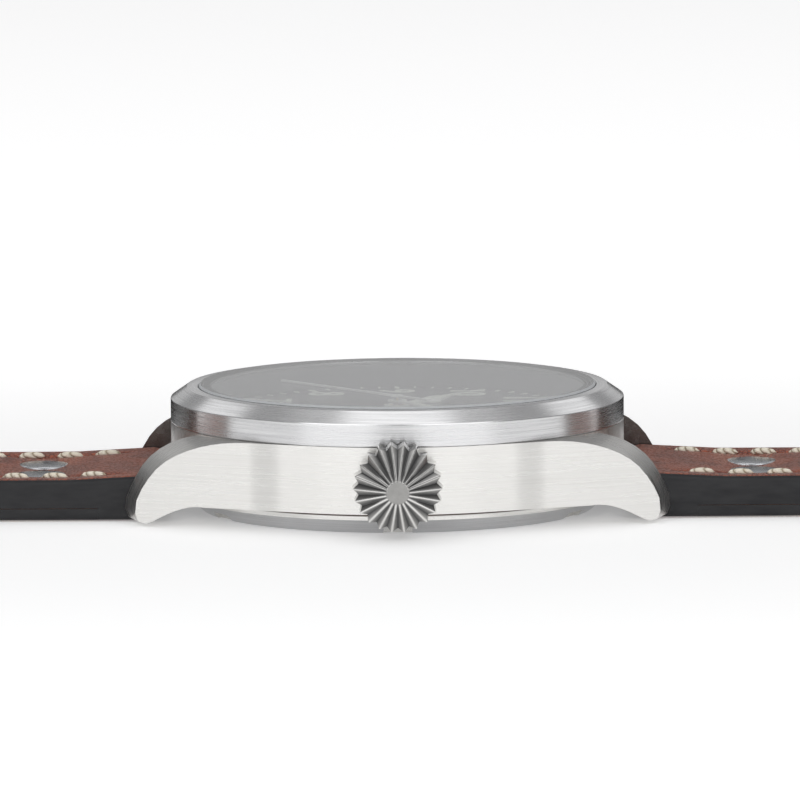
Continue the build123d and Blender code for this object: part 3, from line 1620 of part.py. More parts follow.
with BuildPart() as buckle_frame:
    arm_end = -buckle_thickness * 3 / 4
    buckle_slab(buckle_outside, arm_end, buckle_length, buckle_arm / 3, buckle_corner)
    window = buckle_length - buckle_front
    buckle_slab(buckle_inside, arm_end - 2 * overrun, window, buckle_edge, buckle_arm / 2, Mode.SUBTRACT)
    chamfer(buckle_frame.faces().sort_by(Axis.Z)[-1].edges(), length=buckle_edge)
    bore_end = buckle_inside + buckle_tip_length + shake
    side_rod(buckle_tip_radius + fit, -bore_end, bore_end, buckle_y, bar_level, Mode.SUBTRACT)
keep(buckle_frame, "buckle_frame")

with BuildPart() as buckle_bar:
    body_end = strap_end_width / 2 + buckle_side_gap / 2
    side_rod(buckle_bar_radius, -body_end, body_end, buckle_y, bar_level)
    tip_end = buckle_inside + buckle_tip_length
    side_rod(buckle_tip_radius, -tip_end, tip_end, buckle_y, bar_level)
keep(buckle_bar, "buckle_bar")

with BuildPart() as buckle_tongue:
    ring_radius = buckle_bar_radius + run + tongue_ring
    finger_base = buckle_top + fit
    side_rod(ring_radius, -tongue_width / 2, tongue_width / 2, buckle_y, bar_level)
    finger = buckle_length - buckle_edge
    with BuildSketch(Plane((0, buckle_y, 0), x_dir=(0, 1, 0), z_dir=(1, 0, 0))) as tongue_side:
        with BuildLine():
            Polyline(
                (0, bar_level),
                (buckle_bar_radius, bar_level),
                (tongue_rise, finger_base),
                (finger, finger_base),
                (finger, finger_base + tongue_thickness / 2),
                (tongue_rise, finger_base + tongue_thickness),
                (0, bar_level + ring_radius),
                close=True,
            )
        make_face()
    extrude(tongue_side.sketch, amount=tongue_width / 2, both=True)
    side_rod(buckle_bar_radius + run, -tongue_width, tongue_width, buckle_y, bar_level, Mode.SUBTRACT)
keep(buckle_tongue, "buckle_tongue")


def keeper(reach):
    """A leather loop round the short half, with room for the long half on top."""
    inside = 2 * (half_width(reach, short_length) + keeper_side_gap)
    low = strap_lift - keeper_gap
    middle = low + keeper_inside_height / 2
    place = Plane((0, bar_reach + reach, middle), x_dir=(1, 0, 0), z_dir=(0, -1, 0))
    with BuildSketch(place) as loop:
        outer_height = keeper_inside_height + 2 * keeper_wall
        RectangleRounded(inside + 2 * keeper_wall, outer_height, keeper_wall + keeper_edge)
        RectangleRounded(inside, keeper_inside_height, keeper_edge, mode=Mode.SUBTRACT)
    extrude(loop.sketch, amount=keeper_width / 2, both=True)


with BuildPart() as fixed_keeper:
    keeper(fixed_keeper_reach)
keep(fixed_keeper, "fixed_keeper")

with BuildPart() as floating_keeper:
    keeper(floating_keeper_reach)
keep(floating_keeper, "floating_keeper")
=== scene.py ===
# %% [markdown]
# # A pilot watch, dressed step by step
# The frame holds every part of the watch as a plain solid: the steel case, the crown, the movement, the
# two halves of the strap and the buckle. This lesson gives each visible part the surface and the finish
# that the real one has. X points to the crown, Y to twelve o'clock and Z out of the dial, in metres.

# %% The frame
import json
import math

import bmesh
import bpy
import numpy as np
from mathutils import Matrix, Vector


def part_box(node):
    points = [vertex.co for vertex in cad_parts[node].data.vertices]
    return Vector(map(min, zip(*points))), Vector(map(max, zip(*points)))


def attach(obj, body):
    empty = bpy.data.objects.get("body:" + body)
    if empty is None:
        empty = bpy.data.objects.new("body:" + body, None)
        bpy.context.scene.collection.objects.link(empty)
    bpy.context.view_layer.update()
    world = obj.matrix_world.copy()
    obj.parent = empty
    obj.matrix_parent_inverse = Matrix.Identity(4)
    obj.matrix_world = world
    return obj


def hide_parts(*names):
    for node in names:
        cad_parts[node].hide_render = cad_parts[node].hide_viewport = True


MM = 0.001
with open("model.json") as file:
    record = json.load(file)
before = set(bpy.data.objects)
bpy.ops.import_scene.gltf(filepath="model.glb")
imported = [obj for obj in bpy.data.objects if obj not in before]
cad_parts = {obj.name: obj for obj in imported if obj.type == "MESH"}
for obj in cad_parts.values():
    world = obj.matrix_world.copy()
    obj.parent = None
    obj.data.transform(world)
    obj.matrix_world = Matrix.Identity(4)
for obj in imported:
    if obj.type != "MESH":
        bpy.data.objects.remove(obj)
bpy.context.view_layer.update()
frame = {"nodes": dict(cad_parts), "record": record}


# %% [markdown]
# ## Helpers for meshes
# A piece is a table of points, worked out at once by numpy, and a table of faces between neighbours in
# that table. The points are written in millimetres, because a watchmaker's drawing is, and are turned
# into metres when the mesh is made. Points that meet are merged, so that seams and poles are closed.

# %% Faces between the points of a grid
def grid_faces(rows, columns, around=True, loop=False):
    """Quads between neighbours: around joins the last column to the first, loop the last row to the first."""
    high = rows if loop else rows - 1
    wide = columns if around else columns - 1
    row, column = np.meshgrid(np.arange(high), np.arange(wide), indexing="ij")
    below = row * columns
    above = ((row + 1) % rows) * columns
    after = (column + 1) % columns
    corners = (below + column, below + after, above + after, above + column)
    return np.stack(corners, axis=-1).reshape(-1, 4)


def points_of(x, y, z):
    """A table of points out of three coordinates, each a number, a row, a column or a table."""
    return np.stack(np.broadcast_arrays(x, y, z), axis=-1)


def repeated(faces, size, count):
    """The same faces for each of count copies of a shape with size points."""
    return (faces[None] + size * np.arange(count)[:, None, None]).reshape(-1, faces.shape[1])


# %% Meshes, objects and pieces
def make_mesh(name, points, faces, materials, outward=True, merge=False):
    """A mesh out of points in millimetres; outward turns all its faces to the outside."""
    mesh = bpy.data.meshes.new(name)
    mesh.from_pydata((np.asarray(points).reshape(-1, 3) * MM).tolist(), [], [list(face) for face in faces])
    if outward:
        work = bmesh.new()
        work.from_mesh(mesh)
        if merge:
            bmesh.ops.remove_doubles(work, verts=work.verts, dist=MM / 1000)
        bmesh.ops.recalc_face_normals(work, faces=work.faces)
        work.to_mesh(mesh)
        work.free()
    for material in materials:
        mesh.materials.append(material)
    return mesh


def smooth(mesh, sharp):
    """Smooth shading, where edges over that many degrees stay crisp."""
    mesh.shade_smooth()
    mesh.set_sharp_from_angle(angle=math.radians(sharp))


def add_object(name, data):
    """An object in the scene."""
    thing = bpy.data.objects.new(name, data)
    bpy.context.scene.collection.objects.link(thing)
    return thing


def add_piece(name, mesh, body):
    """A piece of the watch, which rides on a body."""
    piece = add_object(name, mesh)
    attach(piece, body)
    print(name, len(mesh.polygons), "faces")
    return piece


def new_piece(name, points, faces, material, body, sharp=35.0, merge=True):
    """Points and faces become a smooth piece, whose meeting points are merged."""
    mesh = make_mesh(name, points, faces, (material,), merge=merge)
    smooth(mesh, sharp)
    return add_piece(name, mesh, body)


# %% Faces with a material of their own
def face_table(piece, what):
    """The normals or the centres of a piece's faces, as rows of three."""
    table = np.empty(len(piece.data.polygons) * 3)
    piece.data.polygons.foreach_get(what, table)
    return table.reshape(-1, 3)


def choose_materials(piece, numbers, *more):
    """More materials for a piece, and for each face the number of its own."""
    for material in more:
        piece.data.materials.append(material)
    piece.data.polygons.foreach_set("material_index", np.asarray(numbers).astype(np.int32))


# %% Round shapes and softened copies
def full_turn(columns):
    """Even angles round a circle."""
    return np.linspace(0, 2 * np.pi, columns, endpoint=False)


def turned(profile, columns=240):
    """Carry a closed profile of (radius, height) round the Z axis: x = r cos a, y = r sin a."""
    radius, height = np.array(profile).T
    angle = full_turn(columns)
    return points_of(radius[:, None] * np.cos(angle), radius[:, None] * np.sin(angle), height[:, None])


def round_edges(piece, name, width, segments, angle):
    """A small bevel along every edge over that angle."""
    bevel = piece.modifiers.new(name, "BEVEL")
    bevel.width = width * MM
    bevel.segments = segments
    bevel.limit_method = "ANGLE"
    bevel.angle_limit = math.radians(angle)
    bevel.harden_normals = True


def merged_copy(node, material, body, bevel, steps=2):
    """A solid's loose triangles merged into one skin, with its edges rounded by a small bevel."""
    crisp, flat = 30.0, 1.0
    work = bmesh.new()
    work.from_mesh(frame["nodes"][node].data)
    bmesh.ops.remove_doubles(work, verts=work.verts, dist=MM / 500)
    bmesh.ops.dissolve_limit(work, angle_limit=math.radians(flat), verts=work.verts, edges=work.edges)
    work.verts.index_update()
    points = np.array([vert.co[:] for vert in work.verts]) / MM
    faces = [[vert.index for vert in face.verts] for face in work.faces]
    work.free()
    mesh = make_mesh(node + "_skin", points, faces, (material,), outward=False)
    smooth(mesh, crisp)
    piece = add_piece(node + "_skin", mesh, body)
    round_edges(piece, "rounded edges", bevel, steps, crisp)
    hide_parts(node)
    return piece


# %% [markdown]
# ## Helpers for node trees
# An input of a node takes either a plain value or a link, and the same helper gives it both, so a
# material reads like a short list of steps.

# %% Nodes
def feed(tree, socket, value):
    """A link or a plain value for an input."""
    if isinstance(value, bpy.types.NodeSocket):
        tree.links.new(value, socket)
    else:
        socket.default_value = value


def add_node(tree, kind, settings=(), **values):
    """A node of that kind, with settings on it and values or links on its inputs."""
    node = tree.nodes.new(kind)
    for name, value in dict(settings).items():
        setattr(node, name, value)
    for name, value in values.items():
        feed(tree, node.inputs[name.replace("_", " ")], value)
    return node


def maths(tree, operation, *values, kind="ShaderNodeMath"):
    """A maths node whose inputs, in their order, are links or plain values."""
    node = add_node(tree, kind, {"operation": operation})
    for socket, value in zip(node.inputs, values):
        feed(tree, socket, value)
    return node.outputs[0]


def times(tree, first, second):
    """A product."""
    return maths(tree, "MULTIPLY", first, second)


def far_side(tree, first, second):
    """The long side of a right triangle: the root of the sum of both squares."""
    return maths(tree, "SQRT", maths(tree, "ADD", times(tree, first, first), times(tree, second, second)))


def split(tree, vector):
    """The three coordinates of a vector."""
    return tuple(add_node(tree, "ShaderNodeSeparateXYZ", Vector=vector).outputs)


def noise(tree, vector, scale, detail):
    """Noise in three dimensions: its first output is the value, and Color holds three of them."""
    settings = {"noise_dimensions": "3D"}
    return add_node(tree, "ShaderNodeTexNoise", settings, Vector=vector, Scale=scale, Detail=detail).outputs


def spread(tree, value, low, high, from_low=0.3, from_high=0.7, **settings):
    """A changing value carried to the range from low to high."""
    ends = {"From_Min": from_low, "From_Max": from_high, "To_Min": low, "To_Max": high}
    return add_node(tree, "ShaderNodeMapRange", settings, Value=value, **ends).outputs[0]


def blend_colors(tree, value, low, high, positions=(0.25, 0.75)):
    """A changing value turned into a colour between two, which stand at those positions."""
    node = tree.nodes.new("ShaderNodeValToRGB")
    for element, position, color in zip(node.color_ramp.elements, positions, (low, high)):
        element.position = position
        element.color = (*color, 1.0)
    tree.links.new(value, node.inputs[0])
    return node.outputs[0]


def mix_colors(tree, share, first, second):
    """A link's colour where the share is 0, and the second colour where it is 1."""
    node = add_node(tree, "ShaderNodeMix", {"data_type": "RGBA"})
    for place, value in ((0, share), (6, first), (7, (*second, 1.0))):
        feed(tree, node.inputs[place], value)
    return node.outputs[2]


# %% Groups and materials
def new_group(name, numbers, outputs):
    """A shader node group that takes a vector and numbers and puts out plain values."""
    group = bpy.data.node_groups.new(name, "ShaderNodeTree")
    group.interface.new_socket("Vector", in_out="INPUT", socket_type="NodeSocketVector")
    for label, value in numbers.items():
        socket = group.interface.new_socket(label, in_out="INPUT", socket_type="NodeSocketFloat")
        socket.default_value = value
    for label in outputs:
        group.interface.new_socket(label, in_out="OUTPUT", socket_type="NodeSocketFloat")
    return group, group.nodes.new("NodeGroupInput").outputs, group.nodes.new("NodeGroupOutput").inputs


def use_group(tree, group, vector, **values):
    """A shared effect placed in a material."""
    return add_node(tree, "ShaderNodeGroup", {"node_tree": group}, Vector=vector, **values).outputs


def new_material(name, color, **values):
    """A material with one Principled shader, and with object coordinates turned into millimetres."""
    material = bpy.data.materials.new(name)
    material.use_nodes = True
    tree = material.node_tree
    tree.nodes.clear()
    shader = add_node(tree, "ShaderNodeBsdfPrincipled", Base_Color=(*color, 1.0), **values)
    add_node(tree, "ShaderNodeOutputMaterial", Surface=shader.outputs["BSDF"])
    place = tree.nodes.new("ShaderNodeTexCoord").outputs["Object"]
    add_node(tree, "ShaderNodeMapping", Vector=place, Scale=(1 / MM, 1 / MM, 1 / MM))
    return material


def inside(material):
    """A material's tree, its shader's inputs and its coordinates in millimetres."""
    tree = material.node_tree
    return tree, tree.nodes["Principled BSDF"].inputs, tree.nodes["Mapping"].outputs[0]


def add_bump(tree, socket, height, strength, depth):
    """A bump of that depth in millimetres, for that input."""
    bump = add_node(tree, "ShaderNodeBump", Strength=strength, Distance=depth * MM, Height=height)
    tree.links.new(bump.outputs[0], socket)


def finish_surface(material, shade, height, dark, light, rough, strength, depth):
    """The shade changes the colour; the height changes the roughness and the bump, depth millimetres deep."""
    tree, inputs, _ = inside(material)
    tree.links.new(blend_colors(tree, shade, dark, light), inputs["Base Color"])
    tree.links.new(spread(tree, height, *rough), inputs["Roughness"])
    add_bump(tree, inputs["Normal"], height, strength, depth)


# %% [markdown]
# ## Shared effects
# Brushed steel is covered in fine scratches that all run the same way. On the band they run along it,
# and on turned faces they run round the axis. Both are stretched noise: long along the scratch and short
# across it. Leather grain is a net of small cells with larger soft folds. Each effect is a node group
# that puts out plain values, so that every material can use it with its own strength.

# %% Straight brushing
STRAIGHT_LINES, given, result = new_group("straight brushing", {"Along": 0.25, "Across": 8.0}, ("Lines",))
stretch = add_node(STRAIGHT_LINES, "ShaderNodeCombineXYZ", X=given["Along"], Y=given["Along"], Z=given["Across"])
scaled = maths(STRAIGHT_LINES, "MULTIPLY", given["Vector"], stretch.outputs[0], kind="ShaderNodeVectorMath")
feed(STRAIGHT_LINES, result["Lines"], noise(STRAIGHT_LINES, scaled, 1.0, 3.0)[0])

# %% Turned brushing
TURNED_LINES, given, result = new_group("turned brushing", {"Along": 0.2, "Across": 8.0}, ("Lines",))
x, y, z = split(TURNED_LINES, given["Vector"])
ring = add_node(
    TURNED_LINES,
    "ShaderNodeCombineXYZ",
    X=times(TURNED_LINES, far_side(TURNED_LINES, x, y), given["Across"]),
    Y=times(TURNED_LINES, z, given["Across"]),
    Z=times(TURNED_LINES, x, given["Along"]),
)
lines = add_node(
    TURNED_LINES,
    "ShaderNodeTexNoise",
    {"noise_dimensions": "4D"},
    Vector=ring.outputs[0],
    W=times(TURNED_LINES, y, given["Along"]),
    Scale=1.0,
    Detail=3.0,
)
feed(TURNED_LINES, result["Lines"], lines.outputs[0])

# %% Leather grain
GRAIN, given, result = new_group("leather grain", {"Cells": 2.2}, ("Height", "Shade"))
bend = noise(GRAIN, given["Vector"], 0.9, 3.0)["Color"]
bent = maths(GRAIN, "MULTIPLY_ADD", bend, (0.5, 0.5, 0.5), given["Vector"], kind="ShaderNodeVectorMath")
net = {"feature": "DISTANCE_TO_EDGE", "voronoi_dimensions": "3D"}
cells = add_node(GRAIN, "ShaderNodeTexVoronoi", net, Vector=bent, Scale=given["Cells"])
edge = spread(GRAIN, cells.outputs["Distance"], 0.0, 1.0, 0.0, 0.16, interpolation_type="SMOOTHSTEP")
pores = noise(GRAIN, given["Vector"], 5.0, 4.0)[0]
folds = spread(GRAIN, noise(GRAIN, given["Vector"], 0.28, 4.0)[0], 0.0, 1.0, 0.25, 0.75)
feed(GRAIN, result["Height"], maths(GRAIN, "ADD", times(GRAIN, edge, 0.65), times(GRAIN, pores, 0.5)))
feed(GRAIN, result["Shade"], maths(GRAIN, "ADD", times(GRAIN, folds, 0.6), times(GRAIN, edge, 0.4)))
print("shared effects:", [group.name for group in bpy.data.node_groups])


# %% [markdown]
# ## Materials
# Every material starts from object coordinates turned into millimetres, so a scratch or a pore has its
# real size on every piece. A material is one Principled shader. What is the same all over stands on its
# sockets, and only what changes over the surface is linked.

# %% Steel
def steel(name, group, light, dark, rough, anisotropic, along, across, depth, swap=False, **values):
    """Brushed steel: the scratches change its colour a little, its roughness and its bump.

    They lie level, and with swap they lie in upright planes along Y, as on the lugs' bevels. Along and
    across say how many scratches there are in a millimetre, and depth is their depth.
    """
    values = {"Metallic": 1.0, "Anisotropic": anisotropic, "Anisotropic_Rotation": 0.25, **values}
    material = new_material(name, light, Roughness=rough, **values)
    tree, _, vector = inside(material)
    if swap:
        x, y, z = split(tree, vector)
        vector = add_node(tree, "ShaderNodeCombineXYZ", X=z, Y=y, Z=x).outputs[0]
    lines = use_group(tree, group, vector, Along=along, Across=across)["Lines"]
    finish_surface(material, lines, lines, dark, light, (rough * 1.25, rough * 0.8), 0.35, depth)
    return material


PALE, PALE_DARK = (0.83, 0.82, 0.80), (0.76, 0.75, 0.725)
BAND_STEEL = steel("band steel", STRAIGHT_LINES, PALE, PALE_DARK, 0.30, 0.75, 0.10, 9.0, 0.0007)
RIM_STEEL = steel("back rim steel", TURNED_LINES, PALE, PALE_DARK, 0.30, 0.75, 0.10, 9.0, 0.0007)
LUG_STEEL = steel(
    "lug steel", STRAIGHT_LINES, (0.80, 0.79, 0.77), (0.68, 0.67, 0.65), 0.30, 0.0, 0.06, 9.0, 0.001, swap=True
)
TURNED_STEEL = steel(
    "turned steel", TURNED_LINES, (0.82, 0.82, 0.825), (0.68, 0.68, 0.69), 0.25, 0.75, 0.12, 9.0, 0.0015
)
# A darker copy of the case back's steel, for its faces that point down: painted shade.
SHADED_BACK_STEEL = steel(
    "back steel with painted shade", TURNED_LINES, (0.57, 0.57, 0.575), (0.48, 0.48, 0.485), 0.22, 0.75, 0.12, 9.0, 0.0015
)
CROWN_STEEL = steel(
    "crown steel", STRAIGHT_LINES, (0.40, 0.395, 0.385), (0.34, 0.335, 0.325), 0.14, 0.0, 1.2, 1.6, 0.001
)
NICKEL = steel("nickel plate", STRAIGHT_LINES, (0.70, 0.69, 0.66), (0.58, 0.57, 0.54), 0.3, 0.0, 0.6, 0.6, 0.004)
print("steels:", [material.name for material in bpy.data.materials])

# %% The band's round side runs on a little before the flank
shoulder_start, shoulder_end, shoulder_drop = 10.4, 13.6, 0.22
tree, _, vector = inside(BAND_STEEL)
along_band = maths(tree, "ABSOLUTE", split(tree, vector)[1])
soft_step = {"interpolation_type": "SMOOTHSTEP"}
shoulder = spread(tree, along_band, 1.0, 0.0, shoulder_start, shoulder_end, **soft_step)
add_bump(tree, tree.nodes["Bump"].inputs["Normal"], shoulder, 1.0, shoulder_drop)
print("shoulder from", shoulder_start, "to", shoulder_end, "mm")

# %% Painted highlights on the crown's ridges and painted shade in its valleys
ridges, stem_level, disc_radius = 22, 4.75, 1.03
half_step = math.pi / ridges
tree, inputs, vector = inside(CROWN_STEEL)
_, sideways, upward = split(tree, vector)
upward = maths(tree, "SUBTRACT", upward, stem_level)
from_axis = far_side(tree, sideways, upward)
turn = maths(tree, "SUBTRACT", maths(tree, "ARCTAN2", upward, sideways), math.pi / 2)
from_valley = maths(tree, "PINGPONG", turn, half_step)
from_ridge = maths(tree, "PINGPONG", maths(tree, "SUBTRACT", turn, half_step), half_step)
on_cone = spread(tree, from_axis, 0.0, 1.0, disc_radius - 0.01, disc_radius + 0.09)
# Painted shade darkens the valleys of the cone, and a painted highlight brightens its ridges.
in_valley = spread(tree, times(tree, from_valley, from_axis), 1.0, 0.0, 0.02, 0.42)
on_ridge = spread(tree, times(tree, from_ridge, from_axis), 1.0, 0.0, 0.03, 0.15)
# The ridges' painted highlight is strongest on the crown's lower half and fades towards its top.
painted_highlight_fade = spread(tree, upward, 0.85, 0.30, -0.5, 2.5)
plain = inputs["Base Color"].links[0].from_socket
darker = mix_colors(tree, times(tree, in_valley, on_cone), plain, (0.09, 0.09, 0.09))
painted_ridge_highlight = mix_colors(tree, times(tree, times(tree, on_ridge, on_cone), painted_highlight_fade), darker, (0.93, 0.92, 0.90))
tree.links.new(painted_ridge_highlight, inputs["Base Color"])
print("crown ridges with painted highlights:", ridges)

# %% Painted shade in the joint between the case back's rim and the band
rim_top = 1.97
tree, inputs, vector = inside(RIM_STEEL)
# The top of the rim, next to the band, is painted dark: painted shade where the gap lies in shadow.
painted_gap_shade = spread(tree, split(tree, vector)[2], 0.0, 1.0, rim_top - 0.27, rim_top - 0.20)
plain = inputs["Base Color"].links[0].from_socket
tree.links.new(mix_colors(tree, painted_gap_shade, plain, (0.10, 0.08, 0.07)), inputs["Base Color"])
print("joint at", rim_top, "mm")


# %% Plain metals and other fine parts
def fine_material(name, light, dark, rough, metallic, size, depth, **values):
    """A fine noise of that size changes the colour, the roughness and the bump of a small part."""
    material = new_material(name, light, Metallic=metallic, Roughness=rough, **values)
    tree, _, vector = inside(material)
    grain = noise(tree, vector, 1 / size, 4.0)[0]
    finish_surface(material, grain, grain, dark, light, (rough * 0.8, rough * 1.2), 0.3, depth)
    return material


TRIM_STEEL = fine_material("polished trim", (0.66, 0.66, 0.665), (0.60, 0.60, 0.605), 0.22, 1.0, 1.2, 0.001)
RIVET_STEEL = fine_material("rivet steel", (0.56, 0.57, 0.59), (0.50, 0.51, 0.53), 0.27, 1.0, 1.2, 0.001)
# A dark copy of the case's steel for the faces between the lugs: painted shade.
SHADED_INNER_STEEL = fine_material("steel between the lugs with painted shade", (0.26, 0.245, 0.235), (0.20, 0.19, 0.18), 0.25, 1.0, 1.2, 0.001)
BRASS = fine_material("wheel brass", (0.78, 0.58, 0.27), (0.62, 0.45, 0.19), 0.28, 1.0, 0.4, 0.003)
PINION_STEEL = fine_material("pinion steel", (0.62, 0.62, 0.63), (0.48, 0.48, 0.5), 0.22, 1.0, 0.3, 0.002)
SPRING_ALLOY = fine_material("spring alloy", (0.42, 0.47, 0.56), (0.30, 0.34, 0.42), 0.25, 1.0, 0.3, 0.002)
RUBY = fine_material("ruby", (0.62, 0.03, 0.09), (0.42, 0.01, 0.05), 0.08, 0.0, 0.3, 0.001)
RUBBER = fine_material("seal rubber", (0.17, 0.175, 0.18), (0.12, 0.125, 0.13), 0.6, 0.0, 0.15, 0.01)
HOLDER = fine_material("movement ring plastic", (0.22, 0.22, 0.21), (0.16, 0.16, 0.155), 0.5, 0.0, 0.5, 0.006)
HAND_WHITE = fine_material("hand lacquer", (0.80, 0.80, 0.77), (0.72, 0.72, 0.69), 0.3, 0.0, 0.6, 0.003)
LUME = fine_material("pale lume", (0.82, 0.84, 0.74), (0.70, 0.73, 0.62), 0.7, 0.0, 0.08, 0.012)
DIAL_BLACK = fine_material(
    "dial black", (0.022, 0.022, 0.024), (0.014, 0.014, 0.015), 0.6, 0.0, 0.12, 0.006, Specular_IOR_Level=0.0
)
print("fine materials made, now", len(bpy.data.materials))

# %% Glass
GLASS = new_material(
    "sapphire glass", (0.97, 0.98, 1.0), Metallic=0.0, Roughness=0.0, IOR=1.6, Transmission_Weight=1.0
)
tree, inputs, vector = inside(GLASS)
tree.links.new(spread(tree, noise(tree, vector, 0.25, 3.0)[0], 0.0, 0.02, 0.45, 0.8), inputs["Roughness"])
GROUND_GLASS = fine_material(
    "ground glass", (0.80, 0.82, 0.84), (0.72, 0.74, 0.76), 0.45, 0.0, 0.1, 0.002, Transmission_Weight=0.35
)
print("glass:", GLASS.name, "and", GROUND_GLASS.name)


# %% Leather and painted edge
def leather(name, light, dark, cells, rough, depth, sheen):
    """Grained leather: darker in its folds, with a faint sheen on top of the grain."""
    material = new_material(
        name,
        light,
        Metallic=0.0,
        Roughness=rough,
        Sheen_Weight=sheen,
        Sheen_Roughness=0.4,
        Sheen_Tint=(1.0, 0.86, 0.82, 1.0),
        Specular_IOR_Level=0.45,
    )
    tree, _, vector = inside(material)
    grain = use_group(tree, GRAIN, vector, Cells=cells)
    rough_range = (rough * 1.3, rough * 0.75, 0.2, 0.9)
    finish_surface(material, grain["Shade"], grain["Height"], dark, light, rough_range, 0.9, depth)
    return material


BROWN_LEATHER = leather("red brown leather", (0.35, 0.080, 0.032), (0.12, 0.024, 0.013), 2.2, 0.42, 0.15, 0.2)
TAN_LEATHER = leather("tan lining leather", (0.50, 0.31, 0.17), (0.38, 0.22, 0.11), 3.2, 0.62, 0.04, 0.1)
EDGE_COLORS = (0.022, 0.022, 0.024), (0.008, 0.008, 0.010)
DULL = {"Metallic": 0.0, "Specular_IOR_Level": 0.4}
EDGE_PAINT = steel("black edge paint", STRAIGHT_LINES, *EDGE_COLORS, 0.42, 0.0, 0.35, 1.3, 0.03, **DULL)

# %% Thread
THREAD_LIGHT, THREAD_GROOVE_SHADE = (0.92, 0.86, 0.72), (0.58, 0.48, 0.34)
strand_pitch, strand_lean, strand_depth = 1.75, 0.9, 0.2
THREAD = new_material("cream thread", THREAD_LIGHT, Metallic=0.0, Roughness=0.75)
tree, inputs, vector = inside(THREAD)
x, y, z = split(tree, vector)
run = maths(tree, "ADD", y, times(tree, maths(tree, "ADD", x, z), strand_lean))
wave = maths(tree, "SINE", times(tree, run, 2 * math.pi / strand_pitch))
strand = maths(tree, "POWER", maths(tree, "ABSOLUTE", wave), 0.55)
# Between the strands the colour darkens: painted shade in the grooves of the twist, which the bump also sinks.
tree.links.new(blend_colors(tree, strand, THREAD_GROOVE_SHADE, THREAD_LIGHT), inputs["Base Color"])
add_bump(tree, inputs["Normal"], strand, 1.0, strand_depth)
print("materials:", len(bpy.data.materials))


# %% [markdown]
# ## Finishes on the solids
# Every solid of the frame gets the finish of its slot in the record. Most parts of the movement are
# never seen, but a scene may open the case, so they get their real metals too.

# %% Slots to materials
FINISHES = {
    "brushed_case": BAND_STEEL,
    "polished_case": TRIM_STEEL,
    "crystal": GLASS,
    "seal_rubber": RUBBER,
    "dial_black": DIAL_BLACK,
    "hand_white": HAND_WHITE,
    "holder_plastic": HOLDER,
    "plate_nickel": NICKEL,
    "wheel_brass": BRASS,
    "pinion_steel": PINION_STEEL,
    "spring_alloy": SPRING_ALLOY,
    "ruby": RUBY,
    "leather_brown": BROWN_LEATHER,
    "leather_tan": TAN_LEATHER,
}
for row in frame["record"]["subparts"]:
    if row["node"] in frame["nodes"]:
        solid = frame["nodes"][row["node"]]
        material = FINISHES[row["material_slot"]]
        if not solid.material_slots:
            solid.data.materials.append(material)
        for place in solid.material_slots:
            place.material = material


# %% [markdown]
# ## Case middle
# On the real watch the band and the lugs are one forging, milled and then brushed along its length. The
# solid has the right shape, so its triangles are merged into one skin. A very small bevel catches the
# light along its edges, as the real ones do. The band and the flanks are brushed level, and the faces
# over the lugs are brushed along their bend.

# %% Case middle
case_skin = merged_copy("case_middle", BAND_STEEL, "case", bevel=0.06)
normals = np.abs(face_table(case_skin, "normal"))
centres = np.abs(face_table(case_skin, "center")) / MM
lug_inner_x, lug_root_y = 10.4, 15
least_rise, least_side, full_side = 0.05, 0.6, 0.95
on_bevel = (normals[:, 2] > least_rise) | (normals[:, 0] < least_side)
between_lugs = (normals[:, 0] > full_side) & (centres[:, 0] < lug_inner_x) & (centres[:, 1] > lug_root_y)
# The faces between the lugs, where shade falls beside the strap, get the dark copy of the steel: painted shade.
choose_materials(case_skin, np.where(between_lugs, 2, on_bevel), LUG_STEEL, SHADED_INNER_STEEL)
print("faces on the bevels:", int(on_bevel.sum()), "and between the lugs:", int(between_lugs.sum()))

# %% [markdown]
# ## Case back
# The screwed back is turned like the bezel. Its upright rim is brushed bright, and its cone and its flat, which face
# down, get a darker copy of the same steel: painted shade. A thin band along the top of the rim is painted dark:
# painted shade in the joint with the band.

# %% Case back
steepest = 0.3
back_skin = merged_copy("caseback", RIM_STEEL, "case", bevel=0.09)
on_cone = np.abs(face_table(back_skin, "normal")[:, 2]) > steepest
# The cone and the flat, which face down, get the darker copy of the steel: painted shade.
choose_materials(back_skin, on_cone, SHADED_BACK_STEEL)
print("faces on the back's cone and flat:", int(on_cone.sum()), "of", len(on_cone))

# %% [markdown]
# ## Bezel
# The bezel is turned on a lathe: an upright side, a wide sloping face and a narrow flat rim round the
# glass, all brushed round the axis. A profile carried round the axis gives it, with every outer edge
# broken by a small facet.

# %% Bezel
bezel_low, bezel_high = (corner.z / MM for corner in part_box("bezel"))
case_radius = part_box("bezel")[1].x / MM
crystal_low, crystal_high = (corner.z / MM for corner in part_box("crystal"))
band_top = bezel_low + 0.6
chamfer_base = band_top + 2.09
chamfer_inset, edge_break = 1.56, 0.05
spigot_radius, spigot_bore, glass_seat, seat_drop = 19.2, 17.9, 17.3, 0.25
gasket_seat, seal_lip, lip_depth = 18.72, 18.46, 0.15
bezel_profile = (
    (spigot_bore, bezel_low),
    (spigot_radius, bezel_low),
    (spigot_radius, band_top),
    (case_radius - 0.12, band_top),
    (case_radius - 0.03, band_top + 0.04),
    (case_radius, band_top + 0.12),
    (case_radius, chamfer_base - edge_break),
    (case_radius - edge_break / 2, chamfer_base + edge_break / 2),
    (case_radius - chamfer_inset + edge_break, bezel_high - edge_break / 2),
    (case_radius - chamfer_inset - edge_break, bezel_high),
    (seal_lip + edge_break, bezel_high),
    (seal_lip, bezel_high - edge_break),
    (seal_lip, bezel_high - lip_depth),
    (gasket_seat, bezel_high - lip_depth),
    (gasket_seat, crystal_low),
    (glass_seat, crystal_low),
    (glass_seat, crystal_low - seat_drop),
    (spigot_bore, crystal_low - seat_drop),
)
bezel_faces = grid_faces(len(bezel_profile), 240, loop=True)
